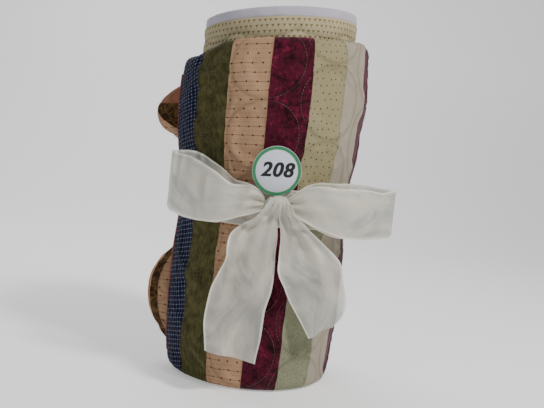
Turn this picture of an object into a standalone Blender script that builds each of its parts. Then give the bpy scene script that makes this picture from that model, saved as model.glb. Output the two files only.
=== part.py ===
"""Rolled patchwork quilt cinched with a sheer ribbon bow, standing on its end.

Metres, +Z up along the roll, bow at the front (-Y). The quilt is folded in thirds and rolled, so each
turn is a thick folded ridge (two thirds) and a single backing leaf whose bound edge stands proud.
"""

import math

import bmesh
import bpy
import numpy as np
from mathutils import Vector
from mathutils.geometry import tessellate_polygon

# ---- the roll -----------------------------------------------------------------------------------
ROLL_HEIGHT = 0.4465  # top of the outer fold
LEAF_STANDS = 0.0485  # how far the leaf's bound edge stands above the folds
ROLL_RADIUS = 0.1346  # at the free end, where the outer turn starts
AXIS_X = 0.0073  # the roll's axis, from the row's origin
FREE_END = -84.3  # degrees from the front, positive to +X
TOP_TILT = 0.12  # the top end leans: rise per metre of x
TILT_FROM, TILT_OVER = 0.022, 0.15  # heights above the ribbon's middle
# ---- layers -------------------------------------------------------------------------------------
RIDGE = 0.0240  # two folded layers
LEAF = 0.0070  # one layer
LAYER_GAP = 0.0005
CORE_RADIUS = 0.0098  # where the innermost fold ends
SKIN = 0.0009  # patchwork cotton
SKIN_GAP = 0.0006
PUFF = 0.0016  # how far a strip swells between its seams
STRIPS = 13  # patchwork strips between the free end and the folds that billow out
SEAM_GAP = 0.0004
FIRST_SEAM = -81.7  # degrees: the navy strip's left edge
STEP = 12.0  # degrees between stations round the roll
BINDING = 0.0135  # height of the binding on the leaf's edge
BINDING_SKIN = 0.0008
# ---- the two folds that billow out behind the free end ------------------------------------------
FOLD_FROM, FOLD_CREST, FOLD_TO = 236.0, 266.0, 275.35  # degrees: back, crest and front of the folds
FOLD_SPLIT = 22.0  # how many of the folds' stations, which run 40 past FOLD_FROM, lie behind the crest
# ---- ribbon and tag: outwards from the roll's surface at the ribbon, upwards from BAND_MID ------
BAND_MID = 0.2380  # middle height of the ribbon round the roll
BAND_LEVELS = (-0.024, -0.013, 0.0, 0.012, 0.024)
RIBBON = 0.0008
BAND_GAP = 0.0006
KNOT_X, KNOT_OUT, KNOT_UP = -0.0040, 0.0127, 0.0050
KNOT_HALF = (0.0145, 0.0096, 0.0118)
TAG_RADIUS = 0.031
TAG_RING = 0.0044
TAG_THICK = 0.0009
TAG_GAP = 0.0003
TAG_X, TAG_UP = -0.0055, 0.0160  # its middle, and its lowest point
TAG_FOOT_OUT = 0.0076  # the lowest point stands on the band, behind the knot
# distance round the roll from the knot, distance outwards, lower and upper edge, half the space inside
LOOP_LEFT = (
    (-0.0133, 0.0148, -0.0005, 0.0115, 0.0012), (-0.0233, 0.0186, -0.0050, 0.0190, 0.0033),
    (-0.0395, 0.0223, -0.0110, 0.0245, 0.0060), (-0.0552, 0.0250, -0.0190, 0.0310, 0.0080),
    (-0.0717, 0.0279, -0.0250, 0.0450, 0.0095), (-0.0894, 0.0305, -0.0260, 0.0540, 0.0100),
    (-0.1082, 0.0339, -0.0240, 0.0600, 0.0095), (-0.1258, 0.0378, -0.0200, 0.0610, 0.0078),
    (-0.1417, 0.0418, -0.0150, 0.0605, 0.0048), (-0.1506, 0.0446, -0.0120, 0.0600, 0.0000),
)
LOOP_RIGHT = (
    (0.0159, 0.0133, -0.0005, 0.0115, 0.0012), (0.0272, 0.0164, -0.0060, 0.0205, 0.0033),
    (0.0445, 0.0205, -0.0140, 0.0310, 0.0060), (0.0639, 0.0244, -0.0230, 0.0375, 0.0085),
    (0.0870, 0.0298, -0.0295, 0.0385, 0.0105), (0.1142, 0.0374, -0.0310, 0.0390, 0.0110),
    (0.1438, 0.0472, -0.0305, 0.0400, 0.0100), (0.1730, 0.0579, -0.0295, 0.0390, 0.0078),
    (0.1946, 0.0665, -0.0270, 0.0375, 0.0045), (0.2056, 0.0711, -0.0230, 0.0360, 0.0000),
)
# x and height of the left edge, then of the right edge, from the knot down
TAIL_LEFT = (
    (-0.0150, -0.0077, -0.0012, -0.0077), (-0.0320, -0.0180, 0.0006, -0.0170),
    (-0.0540, -0.0310, 0.0025, -0.0320), (-0.0600, -0.0480, 0.0028, -0.0490),
    (-0.0605, -0.0660, 0.0026, -0.0680), (-0.0670, -0.0860, 0.0012, -0.0880),
    (-0.0735, -0.1030, -0.0003, -0.1070), (-0.0770, -0.1240, -0.0045, -0.1290),
    (-0.0780, -0.1450, -0.0075, -0.1530), (-0.0762, -0.1630, -0.0092, -0.1750),
    (-0.0742, -0.1790, -0.0100, -0.1940),
)
TAIL_RIGHT = (
    (0.0008, -0.0075, 0.0085, -0.0070), (0.0036, -0.0200, 0.0250, -0.0135),
    (0.0052, -0.0370, 0.0460, -0.0260), (0.0054, -0.0560, 0.0660, -0.0420),
    (0.0052, -0.0770, 0.0840, -0.0590), (0.0150, -0.0950, 0.0940, -0.0840),
    (0.0255, -0.1130, 0.1000, -0.1050), (0.0400, -0.1340, 0.0960, -0.1260),
    (0.0556, -0.1590, 0.0840, -0.1430),
)
TAIL_OUT = (  # drop below BAND_MID, distance outwards
    (0.0077, 0.0127), (0.017, 0.0145), (0.033, 0.0167), (0.068, 0.0187), (0.128, 0.0182), (0.198, 0.0167),
)
TAIL_BEND = 0.6  # how the tails curve back with x, per metre
TAIL_WAVE = 0.0022
# ---- heights up the wall, as shares: 0 at the floor, 1 at the ribbon, 2 where the top folds over --
WAIST = (
    (0.00, 0.908), (0.25, 0.942), (0.63, 0.952), (0.84, 0.930), (0.99, 0.913),
    (1.18, 0.932), (1.40, 0.990), (1.79, 1.030), (2.23, 1.012),
)  # radius over the nominal one: cinched by the ribbon
EARS = ((1.69, 0.328, 0.0580), (0.42, 0.373, 0.0570))  # middle, half height, swell
WALL = (0.21, 0.315, 0.42, 0.525, 0.65, 0.794, 0.89, 1.0, 1.144, 1.356, 1.456, 1.567, 1.689, 1.778, 1.889)
LOW_EAR_TOP, HIGH_EAR_FOOT, PINK_FOOT = WALL[5], WALL[9], WALL[13]
INNER = (0.126, 0.546, 0.99, 1.51, 2.0)  # shared by the inner layers, so their facets stay parallel
CUT = ((1.356, 36.4), (1.444, 36.0), (1.522, 33.0), (1.606, 29.0), (1.689, 25.0), (1.778, 22.0))
# depth and height of the outer turn's outside at its foot, and depth and drop below its top
FOOT = ((0.0095, 0.0020), (0.0052, 0.0050), (0.0020, 0.0115), (0.0004, 0.0210), (0.0, 0.0300))
CROWN = ((0.0, 0.0285), (0.0009, 0.0165), (0.0042, 0.0060), (0.0090, 0.0010), (0.0130, 0.0))

CORE_HEIGHT = ROLL_HEIGHT + LEAF_STANDS
LEAF_OUT = RIDGE + LAYER_GAP  # depths below the roll's surface
LEAF_IN = LEAF_OUT + LEAF
TURN_PITCH = LEAF_IN + LAYER_GAP
INNER_TURNS = (ROLL_RADIUS - CORE_RADIUS) / TURN_PITCH - 2
WALL_TOP = ROLL_HEIGHT - CROWN[0][1]
FOLD_SIDE = ROLL_HEIGHT - 0.0095  # where an inner fold starts to turn over


def smooth(t):
    t = min(max(t, 0.0), 1.0)
    return t * t * (3 - 2 * t)


def lookup(table, x):
    return float(np.interp(x, [row[0] for row in table], [row[1] for row in table]))


def height(share):
    """The height of a share up the wall."""
    return BAND_MID * share if share < 1 else BAND_MID + (WALL_TOP - BAND_MID) * (share - 1)


def share_of(z):
    """The share up the wall of a height."""
    return z / BAND_MID if z < BAND_MID else 1 + (z - BAND_MID) / (WALL_TOP - BAND_MID)


def waist(z):
    """A Catmull-Rom curve through WAIST."""
    zs, rs = [height(row[0]) for row in WAIST], [row[1] for row in WAIST]
    z = min(max(z, zs[0]), zs[-1])
    i = min(max(int(np.searchsorted(zs, z)) - 1, 0), len(zs) - 2)
    span = zs[i + 1] - zs[i]
    t = (z - zs[i]) / span
    before = (rs[i + 1] - rs[i - 1]) / (zs[i + 1] - zs[i - 1]) if i else 0.0
    after = (rs[i + 2] - rs[i]) / (zs[i + 2] - zs[i]) if i + 2 < len(zs) else 0.0
    return (
        (2 * t**3 - 3 * t**2 + 1) * rs[i] + (t**3 - 2 * t**2 + t) * span * before
        + (3 * t**2 - 2 * t**3) * rs[i + 1] + (t**3 - t**2) * span * after
    )


def roll_radius(theta):
    return ROLL_RADIUS - TURN_PITCH * (theta - FREE_END) / 360


def angle(station):
    """Degrees of a station round the outer turn. Past FOLD_FROM they crowd towards the folds' steep front."""
    along = station - FOLD_FROM
    if along <= FOLD_SPLIT:
        return station if along <= 0 else FOLD_FROM + (FOLD_CREST - FOLD_FROM) * along / FOLD_SPLIT
    rise = (along - FOLD_SPLIT) / (40 - FOLD_SPLIT) * math.pi / 2
    return FOLD_CREST + (FOLD_TO - FOLD_CREST) * math.sin(rise)


def ear(station, z):
    """How far the loose fold behind the free end stands out of the roll."""
    along = station - FOLD_FROM
    if along <= 0:
        return 0.0
    full = smooth(along / FOLD_SPLIT)
    if along > FOLD_SPLIT:
        full = math.cos((along - FOLD_SPLIT) / (40 - FOLD_SPLIT) * math.pi / 2)
    up = share_of(z)
    return full * sum(a * (1 - (abs(up - mid) / half) ** 2.2) for mid, half, a in EARS if abs(up - mid) < half)


def place(theta, depth, z, swell=0.0):
    """A point of the roll from its angle, its depth below the nominal surface and its height."""
    r = (roll_radius(theta) - depth) * waist(z) + swell
    a = math.radians(theta)
    x = AXIS_X + r * math.sin(a)
    return (x, -r * math.cos(a), z + TOP_TILT * x * smooth((z - BAND_MID - TILT_FROM) / TILT_OVER))


def deeper(curve, by):
    """A curve of (depth, z) moved inwards by a distance, along its own normal."""
    c = np.array(curve)
    d = np.gradient(c, axis=0)
    d /= np.linalg.norm(d, axis=1)[:, None]
    return [(p[0] + by * t[1], p[1] - by * t[0]) for p, t in zip(c, d)]


def finish(name, verts, faces, colour):
    mesh = bpy.data.meshes.new(name)
    bm = bmesh.new()
    made = [bm.verts.new(v) for v in verts]
    for face in faces:
        bm.faces.new([made[i] for i in face])
    bmesh.ops.recalc_face_normals(bm, faces=bm.faces)
    bm.to_mesh(mesh)
    bm.free()
    obj = bpy.data.objects.new(name, mesh)
    bpy.context.scene.collection.objects.link(obj)
    material = bpy.data.materials.new(name)
    material.use_nodes = True
    material.node_tree.nodes["Principled BSDF"].inputs["Base Color"].default_value = (*colour, 1)
    mesh.materials.append(material)


def quad(a, b, c, d):
    return [(a, b, c), (a, c, d)]


def swept(name, sections, colour, ring=False):
    """A closed body through a row of closed outlines with as many points each."""
    n, m = len(sections), len(sections[0])
    verts = [p for s in sections for p in s]
    faces = []
    for i in range(n if ring else n - 1):
        k = (i + 1) % n
        for j in range(m):
            q = (j + 1) % m
            faces += quad(i * m + j, i * m + q, k * m + q, k * m + j)
    if not ring:
        for start in (0, (n - 1) * m):
            outline = [Vector(p) for p in verts[start : start + m]]
            faces += [tuple(start + i for i in tri) for tri in tessellate_polygon([outline])]
    finish(name, verts, faces, colour)


def slab(name, front, back, colour):
    """A closed body between two grids of points with the same layout."""
    n, m = len(front), len(front[0])
    verts = [p for row in front for p in row] + [p for row in back for p in row]
    faces, off = [], n * m
    for i in range(n - 1):
        for j in range(m - 1):
            a, b, c, d = i * m + j, i * m + j + 1, (i + 1) * m + j + 1, (i + 1) * m + j
            faces += quad(a, b, c, d) + quad(off + a, off + d, off + c, off + b)
    rim = [j for j in range(m)] + [i * m + m - 1 for i in range(1, n)]
    rim += [(n - 1) * m + j for j in range(m - 2, -1, -1)] + [i * m for i in range(n - 2, 0, -1)]
    for a, b in zip(rim, rim[1:] + rim[:1]):
        faces += quad(b, a, off + a, off + b)
    finish(name, verts, faces, colour)


def sheet(name, grid, thick, colour):
    """A thin body either side of a grid of points."""
    g = np.array(grid, float)
    du, dv = np.gradient(g, axis=0), np.gradient(g, axis=1)
    nor = np.cross(du, dv)
    nor /= np.linalg.norm(nor, axis=2)[..., None]
    slab(name, (g + nor * thick / 2).tolist(), (g - nor * thick / 2).tolist(), colour)


def profile(low=None, high=None):
    """Depth and z up the outer turn's outside, or between two heights of its plain wall."""
    whole = [*FOOT, *((0.0, height(up)) for up in WALL), *((depth, ROLL_HEIGHT - drop) for depth, drop in CROWN)]
    if low is None and high is None:
        return whole
    low, high = low if low is not None else -1, high if high is not None else 1
    inside = [p for p in whole if low + 0.004 < p[1] < high - 0.004]
    return [(0.0, low)] * (low > 0) + inside + [(0.0, high)] * (high < 1)


def strip(name, left, right, colour, low=None, high=None, parts=3):
    """A patchwork strip of the outer turn, between two seams given in degrees at each z."""
    left = left if callable(left) else lambda z, v=left: v
    right = right if callable(right) else lambda z, v=right: v
    curve = profile(low, high)
    under = deeper(curve, SKIN)
    front, back = [], []
    for (depth, z), (d2, z2) in zip(curve, under):
        gap = math.degrees(SEAM_GAP / 2 / roll_radius(left(z)))
        a, b = left(z) + gap, right(z) - gap
        fade = 0.35 + 0.65 * smooth(abs(z - BAND_MID) / 0.06)
        out, inn = [], []
        for k in range(parts + 1):
            u = k / parts
            at = a + (b - a) * u
            puff = PUFF * 4 * u * (1 - u) * fade
            out.append(place(angle(at), depth, z, ear(at, z) + puff))
            inn.append(place(angle(at), d2, z2, ear(at, z)))
        front.append(out)
        back.append(inn)
    slab(name, front, back, colour)


def seam(index):
    """The angle of a seam: equal widths of cloth round the spiral from the navy strip's left edge."""
    first, whole = roll_radius(FIRST_SEAM), math.radians(FOLD_FROM - FIRST_SEAM)
    shrink = TURN_PITCH / (4 * math.pi)
    cloth = (first * whole - shrink * whole**2) * index / STRIPS
    turned = (first - math.sqrt(first**2 - 4 * shrink * cloth)) / (2 * shrink)
    return FIRST_SEAM + math.degrees(turned)


def leaf_top():
    """The leaf's bound edge as (depth, z), up its outside and down its inside, thinned under the binding."""
    low, thin = CORE_HEIGHT - BINDING - 0.0015, BINDING_SKIN + 0.0004
    side = [(0.0, low), (thin, low + 0.001), (thin, CORE_HEIGHT - 0.0035), (thin + 0.0013, CORE_HEIGHT - 0.0015)]
    return [(LEAF_OUT + d, z) for d, z in side] + [(LEAF_IN - d, z) for d, z in reversed(side)]


def stations_from(first, last):
    return [first + STEP * k for k in range(1, int(round((last - first) / STEP)))]


def build_roll():
    """The folded ridge and the leaf of the outer turn, the inner turns and the centre fold."""
    end = FREE_END + 360
    even = stations_from(FREE_END, end)
    wall = deeper(profile(), SKIN + SKIN_GAP)
    inner = [height(up) for up in INNER]
    inside = [(RIDGE - d, ROLL_HEIGHT - drop) for d, drop in ((0.0060, 0.0025), (0.0018, 0.0095), (0.0, 0.0215))]
    inside += [*((RIDGE, z) for z in inner[-2::-1]), (RIDGE, 0.0040), (RIDGE - 0.0015, 0.0), (RIDGE / 2, 0.0)]
    ridge = []
    for at in [FREE_END + 0.7] + [t for t in even if t < FOLD_FROM - 2] + [FOLD_FROM + 2 * k for k in range(21)]:
        theta = angle(at) - 0.8 * smooth((at - FOLD_FROM - FOLD_SPLIT) / 6)  # clear of the patchwork's steep front
        outside = [place(theta, d, z, ear(at, z) * 0.93) for d, z in wall]
        ridge.append(outside + [place(theta, d, z) for d, z in inside])
    swept("outer_turn_ridge", ridge, (0.86, 0.82, 0.72))

    curve = [(LEAF_OUT + 0.0015, 0.0), (LEAF_OUT, 0.0020), *((LEAF_OUT, z) for z in inner), *leaf_top()]
    curve += [*((LEAF_IN, z) for z in reversed(inner)), (LEAF_IN, 0.0020), (LEAF_IN - 0.0015, 0.0)]
    around = [FREE_END + 0.7] + even + [end - 0.3]
    swept("backing_leaf", [[place(t, d, z) for d, z in curve] for t in around], (0.74, 0.70, 0.56))

    last = end + STEP * round(360 * INNER_TURNS / STEP)
    around = [end + 0.3] + stations_from(end, last) + [last]
    back = RIDGE - 0.0006
    curve = [(0.0090, 0.0), (0.0030, 0.0030), (0.0, 0.0120), *((0.0, z) for z in inner)]
    curve += [(0.0022, FOLD_SIDE), (RIDGE / 2, ROLL_HEIGHT - 0.0005), (RIDGE - 0.0028, FOLD_SIDE)]
    curve += [(back, inner[4]), (back, inner[2]), (back, 0.020)]
    curve += [*((LEAF_OUT, z) for z in (0.020, inner[2], inner[4])), *leaf_top()]
    curve += [*((LEAF_IN, z) for z in reversed(inner)), (LEAF_IN, 0.0120), (LEAF_IN - 0.0030, 0.0030)]
    curve += [(LEAF_IN - 0.0090, 0.0)]
    swept("inner_turns", [[place(t, d, z) for d, z in curve] for t in around], (0.70, 0.62, 0.50))

    rows = []
    top = ROLL_HEIGHT - 0.0035
    for theta in [last + 2.5] + stations_from(last, last + 360) + [last + 359.5]:
        middle = roll_radius(theta) - 0.0008
        curve = [(0.0030, 0.0), (0.0, 0.0040), *((0.0, z) for z in inner), (0.0022, FOLD_SIDE), (0.0070, top)]
        rows.append([place(theta, d, z) for d, z in [*curve, (middle, top), (middle, 0.0)]])
    swept("centre_fold", rows, (0.62, 0.50, 0.42))


def build_binding():
    """The bound edge along the leaf's top, all the way in, and the bound free end of the quilt."""
    last = FREE_END + 360 + STEP * round(360 * INNER_TURNS / STEP)
    stations = [FREE_END + 0.7] + stations_from(FREE_END, last) + [last]
    low, top, skin = CORE_HEIGHT - BINDING, CORE_HEIGHT, BINDING_SKIN
    curve = (
        (LEAF_OUT, low), (LEAF_OUT, top - 0.002), (LEAF_OUT + 0.002, top), (LEAF_IN - 0.002, top),
        (LEAF_IN, top - 0.002), (LEAF_IN, low), (LEAF_IN - skin, low), (LEAF_IN - skin, top - 0.0031),
        (LEAF_IN - skin - 0.0014, top - 0.0011), (LEAF_OUT + skin + 0.0014, top - 0.0011),
        (LEAF_OUT + skin, top - 0.0031), (LEAF_OUT + skin, low),
    )
    swept("leaf_binding", [[place(t, d, z) for d, z in curve] for t in stations], (0.80, 0.78, 0.80))

    rows = []
    for z in (0.024, 0.030, *(height(up) for up in WALL), WALL_TOP):
        corner = ((FIRST_SEAM - 0.2, -0.0004), (FREE_END, -0.0004), (FREE_END, RIDGE), (FREE_END + 0.4, RIDGE))
        corner += ((FREE_END + 0.4, SKIN - 0.0002), (FIRST_SEAM - 0.2, SKIN - 0.0002))
        low = 0.0003 if z < 0.03 else 0.0
        rows.append([place(t, d + low, z) for t, d in corner])
    swept("free_end_binding", rows, (0.55, 0.33, 0.30))


def build_patchwork():
    navy, olive, tan = (0.05, 0.06, 0.16), (0.20, 0.20, 0.10), (0.62, 0.46, 0.34)
    wine, green, cream = (0.25, 0.02, 0.10), (0.56, 0.54, 0.38), (0.66, 0.62, 0.54)
    s = [seam(k) for k in range(STRIPS + 1)]
    strip("strip_navy", s[0], s[1], navy)
    strip("strip_olive", s[1], s[2], olive)
    strip("strip_tan", s[2], s[3], tan)
    strip("strip_burgundy", s[3], s[4], wine)
    strip("strip_green_dots", s[4], s[5], green, low=BAND_MID + 0.0002)
    strip("strip_green_speckle", s[4], s[5], (0.46, 0.46, 0.38), high=BAND_MID - 0.0002)
    strip("strip_cream", s[5], s[6], cream)
    names = ("wine_side", "navy_back", "olive_back", "tan_back", "burgundy_back", "green_back", "cream_back")
    for k, (name, colour) in enumerate(zip(names, (wine, navy, olive, tan, wine, green, cream))):
        strip("strip_" + name, s[6 + k], s[7 + k], colour)

    brown, peach = (0.10, 0.06, 0.03), (0.66, 0.44, 0.32)
    edge, front = FOLD_FROM + 18, FOLD_FROM + 39.4
    gap = SEAM_GAP / 2
    low, high, pink = height(LOW_EAR_TOP), height(HIGH_EAR_FOOT), height(PINK_FOOT)
    strip("strip_brown_back", FOLD_FROM, edge, brown, parts=9)
    strip("fold_waist", edge, front, peach, low + gap, high - gap, 8)
    strip("fold_low_peach", edge, FOLD_FROM + 26, peach, None, low - gap, 4)
    strip("fold_low_brown", FOLD_FROM + 26, FOLD_FROM + 30, brown, None, low - gap, 2)
    strip("fold_low_tan", FOLD_FROM + 30, front, tan, None, low - gap, 5)
    cut = lambda z: FOLD_FROM + lookup(CUT, share_of(z))
    strip("fold_high_tan", edge, cut, tan, high + gap, pink - gap, 5)
    strip("fold_high_brown", cut, front, brown, high + gap, pink - gap, 6)
    strip("fold_high_pink", edge, front, (0.55, 0.33, 0.26), pink + gap, None, 10)


def hull_radius(points, angle):
    """Where a ray from the axis leaves the convex hull of points round it."""
    pts = sorted(points)
    hull = []
    for run in (pts, pts[::-1]):
        part = []
        for p in run:
            while len(part) > 1 and (
                (part[-1][0] - part[-2][0]) * (p[1] - part[-2][1])
                - (part[-1][1] - part[-2][1]) * (p[0] - part[-2][0])
            ) <= 0:
                part.pop()
            part.append(p)
        hull += part[:-1]
    dx, dy = math.sin(angle), -math.cos(angle)
    best = 0.0
    for (ax, ay), (bx, by) in zip(hull, hull[1:] + hull[:1]):
        ex, ey = bx - ax, by - ay
        det = dx * -ey + dy * ex
        if abs(det) > 1e-12:
            t = (ax * -ey + ay * ex) / det
            s = (dx * ay - dy * ax) / det
            if t > 0 and -1e-6 <= s <= 1 + 1e-6:
                best = max(best, t)
    return best


def front_out(out, z=BAND_MID):
    """The y of something that lies outwards from the roll's front at a height, on the wall's flat facets."""
    levels = [height(up) for up in WALL]
    return -roll_radius(0) * float(np.interp(z, levels, [waist(level) for level in levels])) - out


def build_ribbon():
    ivory = (0.80, 0.77, 0.70)
    knot = (KNOT_X, front_out(KNOT_OUT), BAND_MID + KNOT_UP)
    sections = []
    angles = [math.radians(FREE_END + 6 * k) for k in range(60)]
    rings = []
    for up in BAND_LEVELS:
        z = BAND_MID + up
        round_it = []
        for theta in np.arange(FREE_END, FREE_END + 360, 2.5):
            r = (roll_radius(theta) + 0.0004) * waist(z) + PUFF * 0.5
            round_it.append((r * math.sin(math.radians(theta)), -r * math.cos(math.radians(theta))))
        rings.append([hull_radius(round_it, a) + BAND_GAP for a in angles])
    for k, a in enumerate(angles):
        def at(ring, extra):
            r = rings[ring][k] + extra
            return (AXIS_X + r * math.sin(a), -r * math.cos(a), BAND_MID + BAND_LEVELS[ring])
        last = len(BAND_LEVELS) - 1
        outer = [at(i, RIBBON) for i in range(last + 1)]
        sections.append(outer + [at(i, 0.0) for i in range(last, -1, -1)])
    swept("ribbon_band", sections, ivory, ring=True)

    rows = []
    for i in range(1, 12):
        lat = math.pi * i / 12
        row = []
        for j in range(24):
            lon = 2 * math.pi * j / 24
            crease = 1 - 0.05 * math.cos(6 * lon) * math.sin(lat)
            row.append((
                knot[0] + KNOT_HALF[0] * math.cos(lat),
                knot[1] + KNOT_HALF[1] * math.sin(lat) * math.cos(lon) * crease,
                knot[2] + KNOT_HALF[2] * math.sin(lat) * math.sin(lon) * crease,
            ))
        rows.append(row)
    swept("ribbon_knot", rows, (0.82, 0.79, 0.72))

    for name, table in (("bow_loop_left", LOOP_LEFT), ("bow_loop_right", LOOP_RIGHT)):
        path = []
        for along, out in (row[:2] for row in table):
            theta = math.degrees(math.atan2(KNOT_X - AXIS_X, -front_out(0)) - along / front_out(out))
            r, a = roll_radius(theta) * waist(BAND_MID) + out, math.radians(theta)
            path.append((AXIS_X + r * math.sin(a), -r * math.cos(a)))
        path = np.array(path)
        run = np.gradient(path, axis=0)
        run /= np.linalg.norm(run, axis=1)[:, None]
        side = -1 if table[-1][0] < 0 else 1
        nor = np.stack([run[:, 1], -run[:, 0]], 1) * side
        stations = [(k, 1) for k in range(len(table))] + [(k, -1) for k in range(len(table) - 2, -1, -1)]
        grid = []
        for k, face in stations:
            x, y = path[k]
            low, high, half = BAND_MID + table[k][2], BAND_MID + table[k][3], table[k][4]
            line = []
            for v in np.linspace(0, 1, 6):
                bow = face * half * (1 + 0.35 * (4 * v * (1 - v) - 0.5))
                line.append((x + nor[k, 0] * bow, y + nor[k, 1] * bow, low + (high - low) * v))
            grid.append(line)
        sheet(name, grid, RIBBON, ivory)

    for name, table in (("ribbon_tail_left", TAIL_LEFT), ("ribbon_tail_right", TAIL_RIGHT)):
        grid = []
        for i, (xl, zl, xr, zr) in enumerate(table):
            line = []
            for v in np.linspace(0, 1, 9):
                x, up = xl + (xr - xl) * v, zl + (zr - zl) * v
                wave = TAIL_WAVE * math.sin(2 * math.pi * (1.5 * v + 0.18 * i)) * smooth(i / 3)
                line.append((x, front_out(lookup(TAIL_OUT, -up)) + TAIL_BEND * x * x + wave, BAND_MID + up))
            grid.append(line)
        sheet(name, grid, RIBBON, ivory)


def build_tag():
    low = BAND_MID + TAG_UP
    rest = PUFF + TAG_THICK / 2 + TAG_GAP  # the highest point rests on the patchwork
    foot, top = front_out(TAG_FOOT_OUT), front_out(rest, low + 2 * TAG_RADIUS)
    lean = math.asin((foot - top) / (2 * TAG_RADIUS))
    y, z = (foot + top) / 2, low + TAG_RADIUS * math.cos(lean)

    def at(r, a, out):
        u, v = r * math.sin(a), r * math.cos(a)
        return (
            TAG_X + u, y - v * math.sin(lean) - out * math.cos(lean),
            z + v * math.cos(lean) - out * math.sin(lean),
        )

    turn = [2 * math.pi * k / 48 for k in range(48)]
    swept("tag_disc", [[at(TAG_RADIUS, a, h) for a in turn] for h in (-TAG_THICK / 2, TAG_THICK / 2)], (0.85, 0.86, 0.88))
    inner, low, high = TAG_RADIUS - TAG_RING, TAG_THICK / 2 + TAG_GAP, TAG_THICK / 2 + TAG_GAP + 0.0004
    sections = []
    for a in turn:
        sections.append([at(TAG_RADIUS, a, low), at(TAG_RADIUS, a, high), at(inner, a, high), at(inner, a, low)])
    swept("tag_ring", sections, (0.18, 0.55, 0.36), ring=True)


for thing in list(bpy.data.objects):
    bpy.data.objects.remove(thing, do_unlink=True)
build_roll()
build_binding()
build_patchwork()
build_ribbon()
build_tag()
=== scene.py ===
"""Looks of the rolled patchwork quilt: quilted cloth, sheer ribbon bow and round tag."""

import math

import bpy
import numpy as np
from mathutils import Matrix, Vector


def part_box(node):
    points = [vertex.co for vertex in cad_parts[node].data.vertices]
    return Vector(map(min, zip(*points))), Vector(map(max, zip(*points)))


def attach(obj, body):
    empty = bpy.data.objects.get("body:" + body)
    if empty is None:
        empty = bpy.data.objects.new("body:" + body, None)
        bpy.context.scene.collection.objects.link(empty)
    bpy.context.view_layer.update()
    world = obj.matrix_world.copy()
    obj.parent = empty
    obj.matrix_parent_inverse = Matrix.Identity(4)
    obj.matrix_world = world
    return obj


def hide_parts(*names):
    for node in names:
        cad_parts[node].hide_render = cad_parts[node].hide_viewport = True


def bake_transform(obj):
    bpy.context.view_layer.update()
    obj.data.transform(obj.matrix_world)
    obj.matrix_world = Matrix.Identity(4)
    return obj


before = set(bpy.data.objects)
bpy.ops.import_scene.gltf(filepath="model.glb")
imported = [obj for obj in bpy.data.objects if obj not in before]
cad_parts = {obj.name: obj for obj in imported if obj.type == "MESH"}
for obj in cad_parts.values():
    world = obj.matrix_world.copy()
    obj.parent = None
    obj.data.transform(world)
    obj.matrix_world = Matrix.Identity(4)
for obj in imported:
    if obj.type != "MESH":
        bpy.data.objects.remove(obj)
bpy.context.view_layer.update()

# ---- the roll, as the frame has it (metres, degrees) ----------------------------------------------
ROLL_HEIGHT = 0.4465
LEAF_STANDS = 0.0485
ROLL_RADIUS = 0.1346
AXIS_X = 0.0073
FREE_END = -84.3
TOP_TILT, TILT_FROM, TILT_OVER = 0.12, 0.022, 0.15
RIDGE, LEAF, LAYER_GAP, CORE_RADIUS = 0.0240, 0.0070, 0.0005, 0.0098
STRIPS = 13
FIRST_SEAM = -81.7
STEP = 12.0
BINDING = 0.0135
FOLD_FROM, FOLD_CREST, FOLD_TO, FOLD_SPLIT = 236.0, 266.0, 275.35, 22.0
BAND_MID, BAND_HALF = 0.2380, 0.024
WAIST = (
    (0.00, 0.908), (0.25, 0.942), (0.63, 0.952), (0.84, 0.930), (0.99, 0.913),
    (1.18, 0.932), (1.40, 0.990), (1.79, 1.030), (2.23, 1.012),
)
EARS = ((1.69, 0.328, 0.0580), (0.42, 0.373, 0.0570))
CUT = ((1.356, 36.4), (1.444, 36.0), (1.522, 33.0), (1.606, 29.0), (1.689, 25.0), (1.778, 22.0))
LOW_EAR_TOP, HIGH_EAR_FOOT, PINK_FOOT = 0.794, 1.356, 1.778
FOOT = ((0.0095, 0.0020), (0.0052, 0.0050), (0.0020, 0.0115), (0.0004, 0.0210), (0.0, 0.0300))
CROWN = ((0.0, 0.0285), (0.0004, 0.0165), (0.0022, 0.0062), (0.0070, 0.0012), (0.0130, 0.0))
SHOULDER = 0.0120  # how far the top sags at the free end
TOP_PUFF = 0.0060  # the cloth stands this much over the batting
CORE_HEIGHT = ROLL_HEIGHT + LEAF_STANDS
LEAF_OUT = RIDGE + LAYER_GAP
LEAF_IN = LEAF_OUT + LEAF
TURN_PITCH = LEAF_IN + LAYER_GAP
WALL_TOP = ROLL_HEIGHT - CROWN[0][1]
LAST = FREE_END + 360 + STEP * round(360 * ((ROLL_RADIUS - CORE_RADIUS) / TURN_PITCH - 2) / STEP)
# ---- quilting: touching circles of stitches ---------------------------------------------------------
CIRCLE = 0.045
CIRCLE_U, CIRCLE_V = -0.035, 0.328  # middle of one circle, round the roll from the front and up
CIRCLE_DU, CIRCLE_DV, CIRCLE_DROP = 0.087, 0.0925, 0.047
PUFF = 0.0030  # most that the cloth swells between stitches
SEAM_DITCH = 0.0007
SCALLOP, SCALLOP_U, SCALLOP_DU, SCALLOP_Z = 0.030, 0.0039, 0.0986, (0.434, 0.376)  # on the leaves
LINING_FLAT, LEAF_FLAT = (0.66, 0.41), 0.49
CUT_STRIP = 0.0508
GRID = 0.0040  # cloth simulation
FINE = 0.0020  # finished cloth


def together(*parts):
    """Arrays of any matching shapes as one array of points."""
    return np.stack(np.broadcast_arrays(*parts), -1)


def lengths(points):
    """Distance along a line of points, from its first."""
    return np.concatenate([[0], np.cumsum(np.linalg.norm(np.diff(points, axis=0), axis=1))])


def smooth(t):
    t = np.clip(t, 0.0, 1.0)
    return t * t * (3 - 2 * t)


def table(rows, x, column=1):
    return np.interp(x, [row[0] for row in rows], [row[column] for row in rows])


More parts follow.
